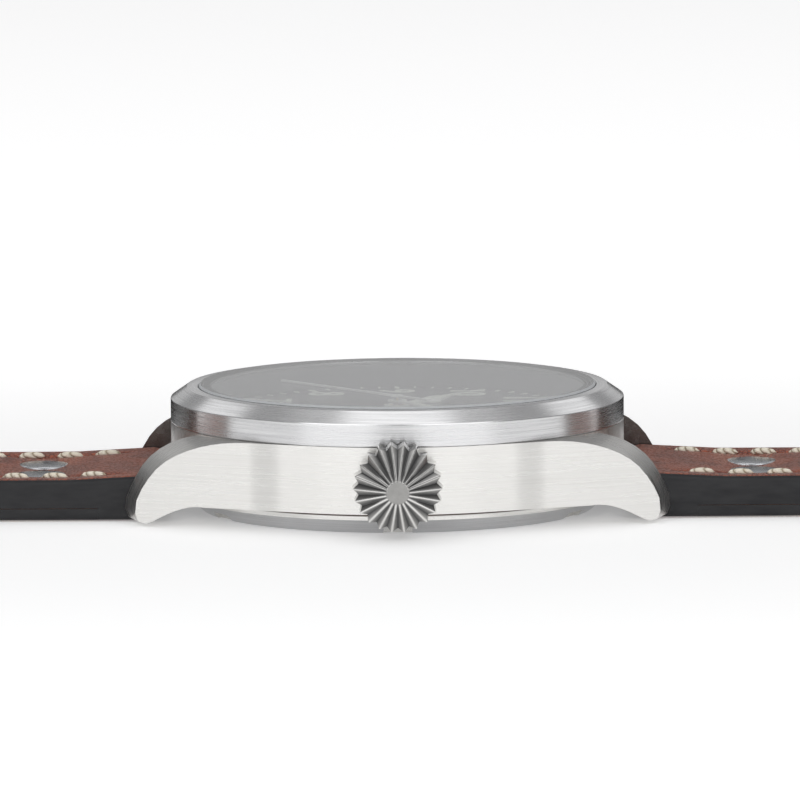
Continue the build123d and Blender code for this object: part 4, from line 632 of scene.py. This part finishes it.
bezel = new_piece("bezel_ring", turned(bezel_profile), bezel_faces, TURNED_STEEL, "case", sharp=18)
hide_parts("bezel")

# %% [markdown]
# ## Crystal
# The glass is a flat disc of sapphire that stands a little proud of the bezel, with a fine bevel round
# its top edge that shows as a bright line, because it is ground and not polished. It is turned like the
# bezel, with its two poles closed.

# %% Crystal
glass_radius, glass_bevel, glass_foot = 18.4, 0.18, 0.04
glass_profile = (
    (0.0, crystal_low),
    (glass_radius - glass_foot, crystal_low),
    (glass_radius, crystal_low + glass_foot),
    (glass_radius, crystal_high - glass_bevel),
    (glass_radius - glass_bevel, crystal_high),
    (0.0, crystal_high),
)
glass_faces = grid_faces(len(glass_profile), 240)
glass = new_piece("sapphire_disc", turned(glass_profile), glass_faces, GLASS, "case", sharp=18)
tilt = face_table(glass, "normal")[:, 2]
choose_materials(glass, (tilt > steepest) & (tilt < full_side), GROUND_GLASS)
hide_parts("crystal")
glass.visible_shadow = False

# %% [markdown]
# ## Crown
# The crown is an onion cone for gloved hands: deep V ridges run over a skirt and up a cone to a small
# flat disc. Its radius is a function of the angle and the place along the stem. It changes from ridge to
# valley and back at every half pitch, and the valleys grow shallow towards the disc.

# %% Crown
crown_low, crown_high = (corner.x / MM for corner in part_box("crown"))
bore_end, skirt_start, cone_length = 23.6, 21.7, 2.5
bore_radius, collar_radius, cone_radius, flare = 2.26, 3.3, 4.05, 0.12
valley_depth, disc_valley = 0.5, 0.06
step = np.linspace(0.0, 1.0, 9)
cone_ridge = cone_radius + (disc_radius - cone_radius) * step
cone_valley = cone_ridge - valley_depth - (disc_valley - valley_depth) * step
skirt_ridge = cone_radius + flare
start_x = [bore_end, bore_end, crown_low, crown_low, skirt_start, skirt_start]
start_radius = [0, bore_radius, bore_radius, collar_radius, collar_radius]
crown_x = np.concatenate((start_x, crown_high - cone_length + cone_length * step, [crown_high]))
crown_ridge = np.concatenate((start_radius, [skirt_ridge], cone_ridge, [0]))
crown_valley = np.concatenate((start_radius, [skirt_ridge - valley_depth], cone_valley, [0]))
crown_angle = np.pi / 2 + np.arange(2 * ridges) * half_step
is_ridge = np.arange(2 * ridges) % 2
crown_radius = crown_valley[:, None] + (crown_ridge - crown_valley)[:, None] * is_ridge
crown_y = crown_radius * np.cos(crown_angle)
crown_z = stem_level + crown_radius * np.sin(crown_angle)
crown_points = points_of(crown_x[:, None], crown_y, crown_z)
crown_faces = grid_faces(len(crown_x), 2 * ridges)
crown = new_piece("ridged_crown", crown_points, crown_faces, CROWN_STEEL, "stem", sharp=20)
round_edges(crown, "rounded crests", 0.09, 3, 25)
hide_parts("crown")

# %% [markdown]
# ## Dial marks
# The dial is matt black, with plain numbers from one to eleven, a triangle with two dots at twelve, and a
# track of sixty strokes, all printed in thick pale lume. The numbers are text made into a mesh. The
# strokes are one small box repeated at sixty angles.

# %% Strokes
dial_top = 7.2
mark_height = 0.06
STROKE_BOX = np.array([(0, 1, 2, 3), (4, 7, 6, 5), (0, 4, 5, 1), (1, 5, 6, 2), (2, 6, 7, 3), (3, 7, 4, 0)])


def stroke_points(inner, outer, width, angles):
    """Boxes that point at the centre, one for each angle: eight corners turned by the angle."""
    side = np.array([-1, 1, 1, -1, -1, 1, 1, -1]) * width / 2
    reach = np.array([inner, inner, outer, outer] * 2)
    level = dial_top + np.array([0.0] * 4 + [mark_height] * 4)
    sine, cosine = np.sin(angles)[:, None], np.cos(angles)[:, None]
    x = reach * sine + side * cosine
    y = reach * cosine - side * sine
    return points_of(x, y, level)


minute_angles = np.arange(60) * np.pi / 30
on_the_hour = np.arange(60) % 5 == 0
track_radius = 16.5
for name, inner, width, chosen in (
    ("minute_strokes", 15.75, 0.2, ~on_the_hour),
    ("hour_strokes", 15.35, 0.45, on_the_hour),
):
    points = stroke_points(inner, track_radius, width, minute_angles[chosen])
    new_piece(name, points, repeated(STROKE_BOX, 8, len(points)), LUME, "case", merge=False)

# %% Triangle and dots
triangle_x = np.array([-1.35, 1.35, 0.0])
triangle_y = np.array([14.7, 14.7, 12.3])
levels = (dial_top, dial_top + mark_height)
triangle_points = [points_of(triangle_x, triangle_y, level) for level in levels]
triangle_faces = [(0, 1, 2), (5, 4, 3), (0, 3, 4, 1), (1, 4, 5, 2), (2, 5, 3, 0)]
triangle_mesh = make_mesh("twelve_triangle", triangle_points, triangle_faces, (LUME,), outward=False)
add_piece("twelve_triangle", triangle_mesh, "case")

dot_radius, dot_spread, dot_place = 0.42, 2.35, 14.2
dot_profile = (
    (0, dial_top),
    (dot_radius, dial_top),
    (dot_radius, dial_top + 0.04),
    (dot_radius - 0.06, dial_top + mark_height),
    (0, dial_top + mark_height),
)
dots = [turned(dot_profile, 24).reshape(-1, 3) + (side * dot_spread, dot_place, 0) for side in (-1, 1)]
dot_faces = repeated(grid_faces(len(dot_profile), 24), len(dots[0]), 2)
new_piece("twelve_dots", np.concatenate(dots), dot_faces, LUME, "case")


# %% Numbers
def evaluated_mesh(thing):
    """The mesh that an object has after its modifiers."""
    bpy.context.view_layer.update()
    return bpy.data.meshes.new_from_object(thing.evaluated_get(bpy.context.evaluated_depsgraph_get()))


number_radius = 13.35
number_height = 3.3
for hour in range(1, 12):
    curve = bpy.data.curves.new("number", "FONT")
    curve.body = str(hour)
    curve.size = number_height * MM / 0.7
    curve.align_x = "CENTER"
    curve.align_y = "CENTER"
    curve.extrude = mark_height * MM / 2
    curve.offset = 0.03 * MM
    curve.space_character = 0.95
    carrier = add_object("number", curve)
    mesh = evaluated_mesh(carrier)
    bpy.data.objects.remove(carrier)
    corners = np.empty(len(mesh.vertices) * 3)
    mesh.vertices.foreach_get("co", corners)
    corners = corners.reshape(-1, 3)
    centre = (corners.max(axis=0) + corners.min(axis=0)) / 2
    angle = hour * math.pi / 6
    place = (number_radius * math.sin(angle), number_radius * math.cos(angle), dial_top + mark_height / 2)
    mesh.vertices.foreach_set("co", (corners - centre + np.array(place) * MM).ravel())
    mesh.materials.clear()
    mesh.materials.append(LUME)
    add_piece("number_%02d" % hour, mesh, "case")


# %% [markdown]
# ## Lume in the hands
# The hour and minute hands are long lozenges filled with lume. The solids are their metal frames, and a
# smaller lozenge of lume stands a hair above each. Its half width is a broken line along the hand.

# %% Lume plates
def hand_lume(name, body, level, length, width, degrees):
    """A smaller lozenge: half width from shares of the hand's width, turned to the hand's angle."""
    rim, thinnest, sunk, proud = 0.16, 0.03, 0.02, 0.04
    share = np.array([0.16, 0.3, 0.5, 0.66, 0.8, 0.95])
    half = np.interp(share, [0.12, 0.66, 1.0], [0.3, 1.0, 0.0]) * width / 2 - rim
    half = np.maximum(half, thinnest)
    reach = share * length
    edge = np.concatenate([np.stack((half, reach), axis=-1), np.stack((-half, reach), axis=-1)[::-1]])
    angle = math.radians(degrees)
    x = edge[:, 1] * math.sin(angle) + edge[:, 0] * math.cos(angle)
    y = edge[:, 1] * math.cos(angle) - edge[:, 0] * math.sin(angle)
    count = len(edge)
    points = [points_of(x, y, height) for height in (level - sunk, level + proud)]
    ends = [list(range(count)), list(range(2 * count - 1, count - 1, -1))]
    around = [(i, (i + 1) % count, count + (i + 1) % count, count + i) for i in range(count)]
    add_piece(name, make_mesh(name, points, ends + around, (LUME,)), body)


hand_lume("hour_lume", "hour", 7.65, 9.6, 1.9, 304.8)
hand_lume("minute_lume", "minute", 8.1, 14.6, 1.5, 57.8)


# %% [markdown]
# ## Strap
# Each half is one thick leather, folded round its spring bar and skived thinner towards its end, on a
# thin lining. Its edges are rounded and painted black. The thread of the two seams pulls a shallow
# groove into the top. A half is built as upright slices along its length. A slice is a closed line
# whose width, top and bottom are functions of the distance from the spring bar, the reach.

# %% The shape along the strap
bar_reach, bar_height, wrap_radius = 23.0, 2.15, 2.1
wide_half, end_half = 9.95, 9.0
short_length, long_length, point_length = 75.0, 115.0, 11.0
taper_start, taper_end = 14, 36
thin_top, thin_low = 3.65, 1.15
lining_start = 4.5
seam_inset = 2.75
rivet_reach, rivet_spread, rivet_sink, rivet_pull = 10.0, 3.4, 0.65, 2.9
buckle_bar_level, buckle_wrap, slot_half = 2.4, 1.4, 1.5
HALVES = (
    ("short", "short_half", 1, short_length, False),
    ("long", "long_half", -1, long_length, True),
)


def half_width(reach, length, pointed):
    """Half the width: an even taper, and at a pointed end (1 - u^2.3)^0.625 of the end's width."""
    taper = wide_half + (end_half - wide_half) * np.clip(reach, 0, None) / length
    if not pointed:
        return np.minimum(taper, wide_half)
    u = np.clip((reach - (length - point_length)) / point_length, 0, 1)
    return taper * np.clip(1 - u ** 2.3, 0, 1) ** 0.625


def over_bar(reach):
    """Half the height of the round wrap over the spring bar."""
    return np.sqrt(np.clip(wrap_radius ** 2 - reach ** 2, 0, None))


def top_level(reach):
    """The top: round over the bar, then down in two slopes to the thin part."""
    along = np.interp(reach, [0, 7, taper_start, taper_end], [4.25, 3.9, 3.9, thin_top])
    return np.where(reach < 0, bar_height + over_bar(reach), along)


def bottom_level(reach):
    """The bottom of the upper leather: under the bar, then up on the lining."""
    places = [0, 1, lining_start - 0.01, lining_start, taper_start, taper_end]
    along = np.interp(reach, places, [0.05, 0.1, 0.1, 1.2, 1.2, 2.25])
    return np.where(reach < 0, bar_height - over_bar(reach), along)


def lining_level(reach):
    """The bottom of the lining."""
    return np.interp(reach, [taper_start, taper_end], [0.1, thin_low])


# %% A slice
CORNER = np.array([0.0, 0.2, 0.42, 0.64, 0.84, 1.0]) * np.pi / 2
FLAT_INSETS = np.array([1.2, 1.7, 2.2, 2.45, 2.62, 2.75, 2.88, 3.05, 3.3, 3.8]) - 0.8
TO_CENTRE = np.array([0.85, 0.7, 0.55, 0.4, 0.25, 0.12, 0.0])
groove_depth, groove_width = 0.42, 0.5


def slices(end, reach, *shape):
    """Closed slices: up one rounded side, over the top with its two grooves, down the other side.

    The shape is half, low, high, centre, top round, low round and groove, each one number or one for each
    reach. Round the rivets the top sinks by d exp(-r^2 / p^2), where r is the distance from the line
    between them, d their sink and p their pull.
    """
    columns = [np.broadcast_to(value, reach.shape)[:, None] for value in (reach, *shape)]
    reach, half, low, high, centre, top_round, low_round, groove = columns
    tall = np.clip(high - low, 0.02, None)
    top_round = np.minimum(np.minimum(top_round, tall * 0.45), half * 0.9)
    low_round = np.minimum(np.minimum(low_round, tall * 0.3), half * 0.5)
    flat_in = top_round + FLAT_INSETS * np.minimum(half / 4.0, 1.0)
    middle = (half - flat_in[:, -1:]) * TO_CENTRE
    over_x = np.concatenate((half - top_round * (1 - np.cos(CORNER)), half - flat_in, middle), axis=1)
    level = (high - top_round * (1 - np.sin(CORNER)), high + 0 * flat_in, high + 0 * middle)
    dip = groove * np.exp(-((half - over_x - seam_inset) / groove_width) ** 2)
    away = (reach - rivet_reach) ** 2 + np.clip(np.abs(over_x) - rivet_spread, 0, None) ** 2
    over_z = np.concatenate(level, axis=1) - dip - rivet_sink * np.exp(-away / rivet_pull ** 2)
    right_x = np.concatenate((half - low_round * (1 - np.sin(CORNER)), over_x), axis=1)
    right_z = np.concatenate((low + low_round * (1 - np.cos(CORNER)), over_z), axis=1)
    x = np.concatenate((right_x, -right_x[:, -2::-1]), axis=1) + centre
    z = np.concatenate((right_z, right_z[:, -2::-1]), axis=1)
    return points_of(x, end * (bar_reach + reach), z)


def capped_faces(rows, columns, start=0):
    """Faces of a tube of slices that begins at that point, with a face over each end."""
    last = start + (rows - 1) * columns
    faces = (grid_faces(rows, columns) + start).tolist()
    faces.append([start + corner for corner in range(columns - 1, -1, -1)])
    faces.append([last + corner for corner in range(columns)])
    return faces


# %% Leather out of slices
def reaches(stretches, *more):
    """Reaches in stretches of (start, finish, how many), and more of them, in order and without repeats."""
    return np.unique(np.concatenate([np.linspace(*stretch) for stretch in stretches] + list(more)))


def tip_reaches(length, tip, steps=22):
    """Reaches round a pointed end, close together where it turns."""
    return length - point_length + tip * np.sin(np.linspace(0, np.pi / 2 - 0.05, steps))


def leather_object(name, tubes, top, body, holes):
    """Join the tubes into one mesh; all but the flat top and bottom gets the edge's material."""
    faces = []
    start = 0
    for tube in tubes:
        faces += capped_faces(*tube.shape[:2], start)
        start += tube.shape[0] * tube.shape[1]
    points = np.concatenate([tube.reshape(-1, 3) for tube in tubes])
    piece = add_object(name, make_mesh(name, points, faces, (top,)))
    upward = face_table(piece, "normal")[:, 2]
    choose_materials(piece, (upward < 0.75) & (upward > -0.985), EDGE_PAINT)
    if holes is not None:
        cut = piece.modifiers.new("tongue holes", "BOOLEAN")
        cut.operation = "DIFFERENCE"
        cut.solver = "EXACT"
        cut.object = holes
        cut_mesh = evaluated_mesh(piece)
        piece.modifiers.remove(cut)
        piece.data = cut_mesh
    smooth(piece.data, 40)
    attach(piece, body)
    print(name, len(piece.data.polygons), "faces")
    return piece


# %% The upper leathers
def upper_tubes(length, end, pointed):
    """The slices of one upper leather; the buckle's end is split in two by the tongue's slot."""
    fold = -wrap_radius * np.cos(np.linspace(0.06, np.pi / 2, 12))
    seat = [lining_start - 0.01, lining_start]
    if pointed:
        reach = reaches([(0.4, 14, 24), (14, 104, 90)], fold, seat, tip_reaches(length, point_length))
        groove_end = [length - 13, length - 11]
    else:
        reach = reaches([(0.4, 14, 24), (14, 70.4, 56), (70.5, 71.5, 3)], fold, seat)
        groove_end = [69, 70.5]
    groove = groove_depth * np.interp(reach, [1.5, 3.5, *groove_end], [0, 1, 1, 0])
    half = half_width(reach, length, pointed)
    low = bottom_level(reach)
    high = top_level(reach)
    if pointed:
        tip_round = 0.7
        past = np.clip(reach - (length - tip_round), 0, tip_round)
        high = high - tip_round + np.sqrt(np.clip(tip_round ** 2 - past ** 2, 0, None))
    else:
        low = np.where(reach > 70.45, thin_low, low)
    low_round = np.where(reach > lining_start - 0.01, 0.05, 0.4)
    body = slices(end, reach, half, low, high, 0.0, 0.5, low_round, groove)
    if pointed:
        return [body]
    fold = length + buckle_wrap * np.sin(np.linspace(-0.9, np.pi / 2 - 0.05, 14))
    prong = np.concatenate((np.linspace(71.45, 73.6, 6), fold))
    over = np.sqrt(np.clip(buckle_wrap ** 2 - (prong - length) ** 2, 0, None))
    near = np.abs(prong - length) < buckle_wrap
    above, below = buckle_bar_level + over, buckle_bar_level - over
    high = np.where(prong > length, above, np.maximum(thin_top, np.where(near, above, 0)))
    low = np.where(prong > length, below, np.where(near, np.minimum(thin_low, below), thin_low))
    outer = half_width(prong, length, False)
    half = (outer - slot_half) / 2
    sides = [side * (outer + slot_half) / 2 for side in (-1, 1)]
    return [body] + [slices(end, prong, half, low, high, middle, 0.5, 0.3, 0.0) for middle in sides]


def hole_cutter(count=7, pitch=6.5, from_end=26.0, radius=1.1, columns=32):
    """Pins where the long half's holes are; their faces carry the edge's material."""
    angle = full_turn(columns)
    points, faces = [], []
    for hole in range(count):
        place = -(bar_reach + long_length - from_end - pitch * hole)
        ring = (radius * np.cos(angle), place + radius * np.sin(angle))
        points += [points_of(*ring, level) for level in (-2.0, 8.0)]
        faces += capped_faces(2, columns, hole * 2 * columns)
    pins = add_object("hole_pins", make_mesh("hole pins", points, faces, (BROWN_LEATHER,)))
    choose_materials(pins, np.ones(len(faces)), EDGE_PAINT)
    return pins


# %% Both halves and their linings
def lining_tube(length, end, pointed):
    """The lining's slices: thin, with its lower edges rounded."""
    tip_back, side_back, top_gap = 0.3, 0.03, 0.005
    if pointed:
        tip = tip_reaches(length, point_length - tip_back)
        reach = reaches([(lining_start, taper_end, 40), (taper_end, 104, 60)], tip)
    else:
        reach = reaches([(lining_start, taper_end, 40), (taper_end, length - lining_start, 40)])
    high = np.interp(reach, [taper_start, taper_end], [1.2, 2.25]) - top_gap
    half = half_width(reach, length, pointed) - side_back
    return slices(end, reach, half, lining_level(reach), high, 0.0, 0.08, 0.35, 0.0)


pins = hole_cutter()
for label, body, end, length, pointed in HALVES:
    for name, tubes, top, slot in (
        ("strap_", upper_tubes(length, end, pointed), BROWN_LEATHER, "leather_brown"),
        ("lining_", [lining_tube(length, end, pointed)], TAN_LEATHER, "leather_tan"),
    ):
        piece = leather_object(name + label + "_leather", tubes, top, body, pins if pointed else None)
        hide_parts(name + label)
bpy.data.objects.remove(pins)


# %% [markdown]
# ## Stitches
# Both seams are sewn by hand with thick cream thread, in long stitches that lean a little. A stitch is a
# bead along a low arch: its radius falls to nothing at both ends, where it goes into its hole. One bead
# is worked out once, and numpy turns and moves it to every place, on top and on the lining.

# %% One bead and all its places
stitch_length, stitch_pitch, stitch_lean, row_shift = 2.55, 3.6, 0.14, 0.4
thread_radius, arch_rise, top_sink, low_sink = 0.32, 0.12, 0.16, 0.27
seam_gap, point_gap, look_ahead = 5.0, 1.2, 0.3
bead_rows, bead_columns = 9, 8


def stitch_bead():
    """Radius R(1 - |t|^3)^0.5 round a line that rises 0.12(1 - t^2) and runs along Y."""
    t = np.linspace(-1, 1, bead_rows)[:, None]
    angle = full_turn(bead_columns)
    radius = thread_radius * np.sqrt(np.clip(1 - np.abs(t) ** 3, 0, None))
    z = radius * np.sin(angle) + arch_rise * (1 - t ** 2)
    return points_of(radius * np.cos(angle), t * stitch_length / 2, z).reshape(-1, 3)


def stitches(name, body, places, angles, upside):
    """The bead turned by each angle in plan, flipped where it is underneath, and moved to its place."""
    bead = stitch_bead()
    sine, cosine = np.sin(angles)[:, None], np.cos(angles)[:, None]
    x = bead[:, 0] * cosine - bead[:, 1] * sine + places[:, 0:1]
    y = bead[:, 0] * sine + bead[:, 1] * cosine + places[:, 1:2]
    z = bead[:, 2] * upside[:, None] + places[:, 2:3]
    faces = repeated(grid_faces(bead_rows, bead_columns), len(bead), len(places))
    new_piece(name, points_of(x, y, z), faces, THREAD, body, sharp=180)


def seam_places(length, end, pointed):
    """Where the stitches stand: two straight rows, and round the point a row at the same inset."""
    reach = np.arange(lining_start, length - (point_length if pointed else seam_gap), stitch_pitch)
    half = half_width(reach, length, pointed) - seam_inset
    sides = (-1, 1)
    rows = [points_of(side * half, reach + row_shift * side, side * stitch_lean) for side in sides]
    if pointed:
        u = np.linspace(0, 1, 400)
        edge_reach = length - point_length + point_length * np.sin(u * np.pi / 2)
        edge_half = half_width(edge_reach, length, True) - seam_inset * (1 - 0.3 * u)
        edge_half = np.clip(edge_half, 0, None)
        edge_reach = edge_reach - seam_inset * u
        run = np.concatenate(([0], np.cumsum(np.hypot(np.diff(edge_reach), np.diff(edge_half)))))
        steps = np.arange(reach[-1] + stitch_pitch - edge_reach[0], run[-1] - point_gap, stitch_pitch)
        tip_reach = np.interp(steps, run, edge_reach)
        tip_half = np.interp(steps, run, edge_half)
        ahead = steps + look_ahead
        slope = np.arctan2(np.interp(ahead, run, edge_half) - tip_half, np.interp(ahead, run, edge_reach) - tip_reach)
        rows += [points_of(side * tip_half, tip_reach, -side * slope) for side in sides]
    x, reach, angles = np.concatenate(rows).T
    return x, reach, end * angles


for label, body, end, length, pointed in HALVES:
    x, reach, angles = seam_places(length, end, pointed)
    y = end * (bar_reach + reach)
    levels = (top_level(reach) - top_sink, lining_level(reach) + low_sink)
    places = np.concatenate([points_of(x, y, level) for level in levels])
    upside = np.repeat([1.0, -1.0], len(x))
    stitches("stitches_" + label, body, places, np.tile(angles, 2), upside)

# %% [markdown]
# ## Rivets
# Two flat steel rivets with a rounded rim hold each half together near its lug. Each head is a low dome
# turned round its own axis, from the shank in the leather to a closed pole on top.

# %% Rivets
rivet_radius, rivet_base, shank_radius, shank_foot = 2.45, 3.24, 0.6, 1.25
rim_width, rim_foot, rim_rise = 0.3, 0.08, 0.24
dome = ((1.2, 0.36), (0, 0.38))
rivet_profile = [(0, shank_foot), (shank_radius, shank_foot), (shank_radius, rivet_base)]
rivet_profile += [(rivet_radius - 0.05, rivet_base)]
for turn in np.linspace(0, math.pi / 2, 7):
    level = rivet_base + rim_foot + rim_rise * math.sin(turn)
    rivet_profile += [(rivet_radius - rim_width * (1 - math.cos(turn)), level)]
rivet_profile += [(radius, rivet_base + rise) for radius, rise in dome]
rivet_shape = turned(rivet_profile, 64).reshape(-1, 3)
rivet_faces = repeated(grid_faces(len(rivet_profile), 64), len(rivet_shape), 2)
for label, body, end, _, _ in HALVES:
    pair = [rivet_shape + (side * rivet_spread, end * (bar_reach + rivet_reach), 0) for side in (-1, 1)]
    heads = new_piece("rivet_heads_" + label, pair, rivet_faces, RIVET_STEEL, body, sharp=50)
    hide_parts("rivets_" + label)

# %% [markdown]
# ## Keepers
# Two leather loops hold the strap's tail. A loop is a small closed section, a thin rounded rectangle,
# carried round a larger rounded rectangle in the plane across the strap.

# %% Keepers
def rounded_path(half_x, half_z, corner, steps=10):
    """Points and outward normals round a rectangle whose corners are quarter circles."""
    turn = np.linspace(0, np.pi / 2, steps)
    points, normals = [], []
    for quarter, (side_x, side_z) in enumerate(((1, 1), (-1, 1), (-1, -1), (1, -1))):
        angle = turn + quarter * np.pi / 2
        normal = np.stack((np.cos(angle), np.sin(angle)), axis=-1)
        points.append(np.array([side_x * (half_x - corner), side_z * (half_z - corner)]) + corner * normal)
        normals.append(normal)
    return np.concatenate(points), np.concatenate(normals)


def keeper_loop(name, node, body, reach):
    """The section, wall by width, carried round the loop: point = path + normal a + along b."""
    wall, width, low, tall, play = 0.9, 5.0, 1.0, 5.6, 0.4
    path_corner, wall_corner = 0.8, 0.3
    inner_half = half_width(np.array([reach]), short_length, False)[0] + play
    path, normal = rounded_path(inner_half + wall / 2, tall / 2 + wall / 2, path_corner)
    section, _ = rounded_path(wall / 2, width / 2, wall_corner, 5)
    swell = 0.04 * np.cos(section[:, 1] / width * np.pi) * (section[:, 0] > 0)
    across = section[:, 0] - 0.04 + swell
    x = path[:, 0:1] + normal[:, 0:1] * across
    z = low + tall / 2 + path[:, 1:2] + normal[:, 1:2] * across
    points = points_of(x, bar_reach + reach + section[:, 1], z)
    faces = grid_faces(len(path), len(section), loop=True)
    piece = new_piece(name, points, faces, BROWN_LEATHER, body, sharp=60)
    choose_materials(piece, np.abs(face_table(piece, "normal")[:, 1]) > 0.7, EDGE_PAINT)
    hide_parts(node)


keeper_loop("fixed_loop", "fixed_keeper", "short_half", 62.0)
keeper_loop("floating_loop", "floating_keeper", "loose_keeper", 47.0)

# %% [markdown]
# ## Buckle
# The frame and the tongue are stamped steel with soft edges. Their solids have the right shape, so their
# skins are merged and rounded.

# %% Buckle
merged_copy("buckle_frame", TRIM_STEEL, "buckle", bevel=0.18, steps=3)
merged_copy("buckle_tongue", TRIM_STEEL, "tongue", bevel=0.08)

# %% [markdown]
# ## Floor and light
# The watch lies on a plain white table in a light tent. The table glows white for the camera, in reflections and
# through the glass, but more weakly near the watch, so a painted soft shadow round the watch fades to white further
# away; the table also keeps the watch's own soft shadow. The tent is the world, grey near the horizon and brighter
# above. Soft boxes overhead, at the front and at the back give the steel its highlights, and two low dark cards
# behind the case give the ends of its round sides their dark tone.

# %% Floor
floor_reach, floor_drop = 6000, 0.02
corners = ((-1, -1), (1, -1), (1, 1), (-1, 1))
floor_points = [(x * floor_reach, y * floor_reach, -floor_drop) for x, y in corners]
floor_paint = new_material(
    "floor paint", (0.96, 0.96, 0.96), Roughness=0.9, Emission_Strength=1.0, Specular_IOR_Level=0.0
)
floor = add_object("floor", make_mesh("floor", floor_points, [(0, 1, 2, 3)], (floor_paint,), outward=False))
tree, inputs, vector = inside(floor_paint)
seen = tree.nodes.new("ShaderNodeLightPath").outputs
straight = maths(tree, "ADD", seen["Is Camera Ray"], seen["Is Glossy Ray"])
either = maths(tree, "MINIMUM", maths(tree, "ADD", straight, seen["Is Transmission Ray"]), 1.0)
x, y, _ = split(tree, vector)
# The glow is weaker near the watch and stronger far away: a painted soft shadow round the watch, stretched along the
# strap.
near, far, near_glow, far_glow, along_strap = 25, 150, 0.26, 0.42, 0.4
away = far_side(tree, maths(tree, "ABSOLUTE", x), times(tree, maths(tree, "ABSOLUTE", y), along_strap))
glow_with_painted_shadow = spread(tree, away, near_glow, far_glow, near, far, **soft_step)
tree.links.new(times(tree, either, glow_with_painted_shadow), inputs["Emission Color"])

# %% World
world = bpy.data.worlds.new("light tent")
bpy.context.scene.world = world
world.use_nodes = True
tree = world.node_tree
tree.nodes.clear()
horizon, overhead = (0.28, 0.28, 0.282), (0.33, 0.33, 0.333)
rise = split(tree, tree.nodes.new("ShaderNodeTexCoord").outputs["Generated"])[2]
sky = blend_colors(tree, rise, horizon, overhead, positions=(0.0, 0.9))
background = add_node(tree, "ShaderNodeBackground", Color=sky)
add_node(tree, "ShaderNodeOutputWorld", Surface=background.outputs[0])
bpy.context.scene.view_settings.view_transform = "Standard"
print("world:", world.name)


# %% Soft boxes
def soft_box(name, place, width, depth, strength):
    """An area lamp aimed at the watch; strength is the brightness of its face, where a white card has 1."""
    lamp = bpy.data.lights.new(name, "AREA")
    lamp.shape = "RECTANGLE"
    lamp.size = width * MM
    lamp.size_y = depth * MM
    lamp.energy = strength * math.pi * width * depth * MM * MM
    holder = add_object(name, lamp)
    holder.location = Vector(place) * MM
    aim = Vector((0, 0, 5 * MM)) - holder.location
    holder.rotation_mode = "QUATERNION"
    holder.rotation_quaternion = aim.to_track_quat("-Z", "Y")
    holder.visible_camera = False


soft_box("overhead box", (-250, 0, 760), 330, 500, 1.0)
for side, sign in (("left", -1), ("right", 1)):
    soft_box("side box " + side, (78, sign * 442, 780), 470, 380, 0.9)
for side, sign in (("left", -1), ("right", 1)):
    soft_box("front box " + side, (700, sign * 400, 370), 620, 700, 1.45)
soft_box("back card", (-900, 0, 170), 700, 260, 0.24)
for side, sign in (("left", -1), ("right", 1)):
    soft_box("back box " + side, (-560, sign * 380, 520), 260, 260, 0.75)
print("lamps:", len(bpy.data.lights))

# %% Dark cards that only the metal sees
card_paint = new_material("card paint", (0.02, 0.02, 0.02), Roughness=1.0, Specular_IOR_Level=0.0)
card_radius, card_height, card_foot = 60, 14, 0.1
for name, first, last in (("dark card left", -168, -104), ("dark card right", 104, 168)):
    turn = np.radians(np.linspace(first, last, 17))
    foot = points_of(card_radius * np.cos(turn), card_radius * np.sin(turn), card_foot)
    card_faces = grid_faces(2, len(turn), around=False)
    card_mesh = make_mesh(name, (foot, foot + (0, 0, card_height)), card_faces, (card_paint,), outward=False)
    card = add_object(name, card_mesh)
    card.visible_camera = False
    card.visible_diffuse = False
    card.visible_shadow = False
    card.visible_transmission = False
    print(name, len(card_faces), "faces")

# %% [markdown]
# ## Camera
# The photograph looks at the crown side from a little above, from far away through a long lens, so the
# shape hardly narrows with distance. The camera stands 700 mm from the middle of the case.

# %% Camera
distance = 700.0
elevation = math.radians(7.3)
target = Vector((0, 0, 9.79))
roll = -0.006
pixels_per_mm, photo_size, photo_shift = 10.782, 800, 2.78
sensor = 36.0
lens = bpy.data.cameras.new("camera")
lens.sensor_width = sensor
lens.lens = pixels_per_mm * distance * sensor / photo_size
lens.shift_x = photo_shift / photo_size
lens.clip_start = 10 * MM
lens.clip_end = 20000 * MM
camera = add_object("camera", lens)
back = Vector((math.cos(elevation), 0, math.sin(elevation)))
right = Vector((0, 1, 0))
facing = Matrix((right, back.cross(right), back)).transposed()
camera.rotation_mode = "QUATERNION"
camera.rotation_quaternion = (facing @ Matrix.Rotation(roll, 3, "Z")).to_quaternion()
camera.location = (target + back * distance) * MM
bpy.context.scene.camera = camera
print("lens in millimetres:", round(lens.lens, 1))
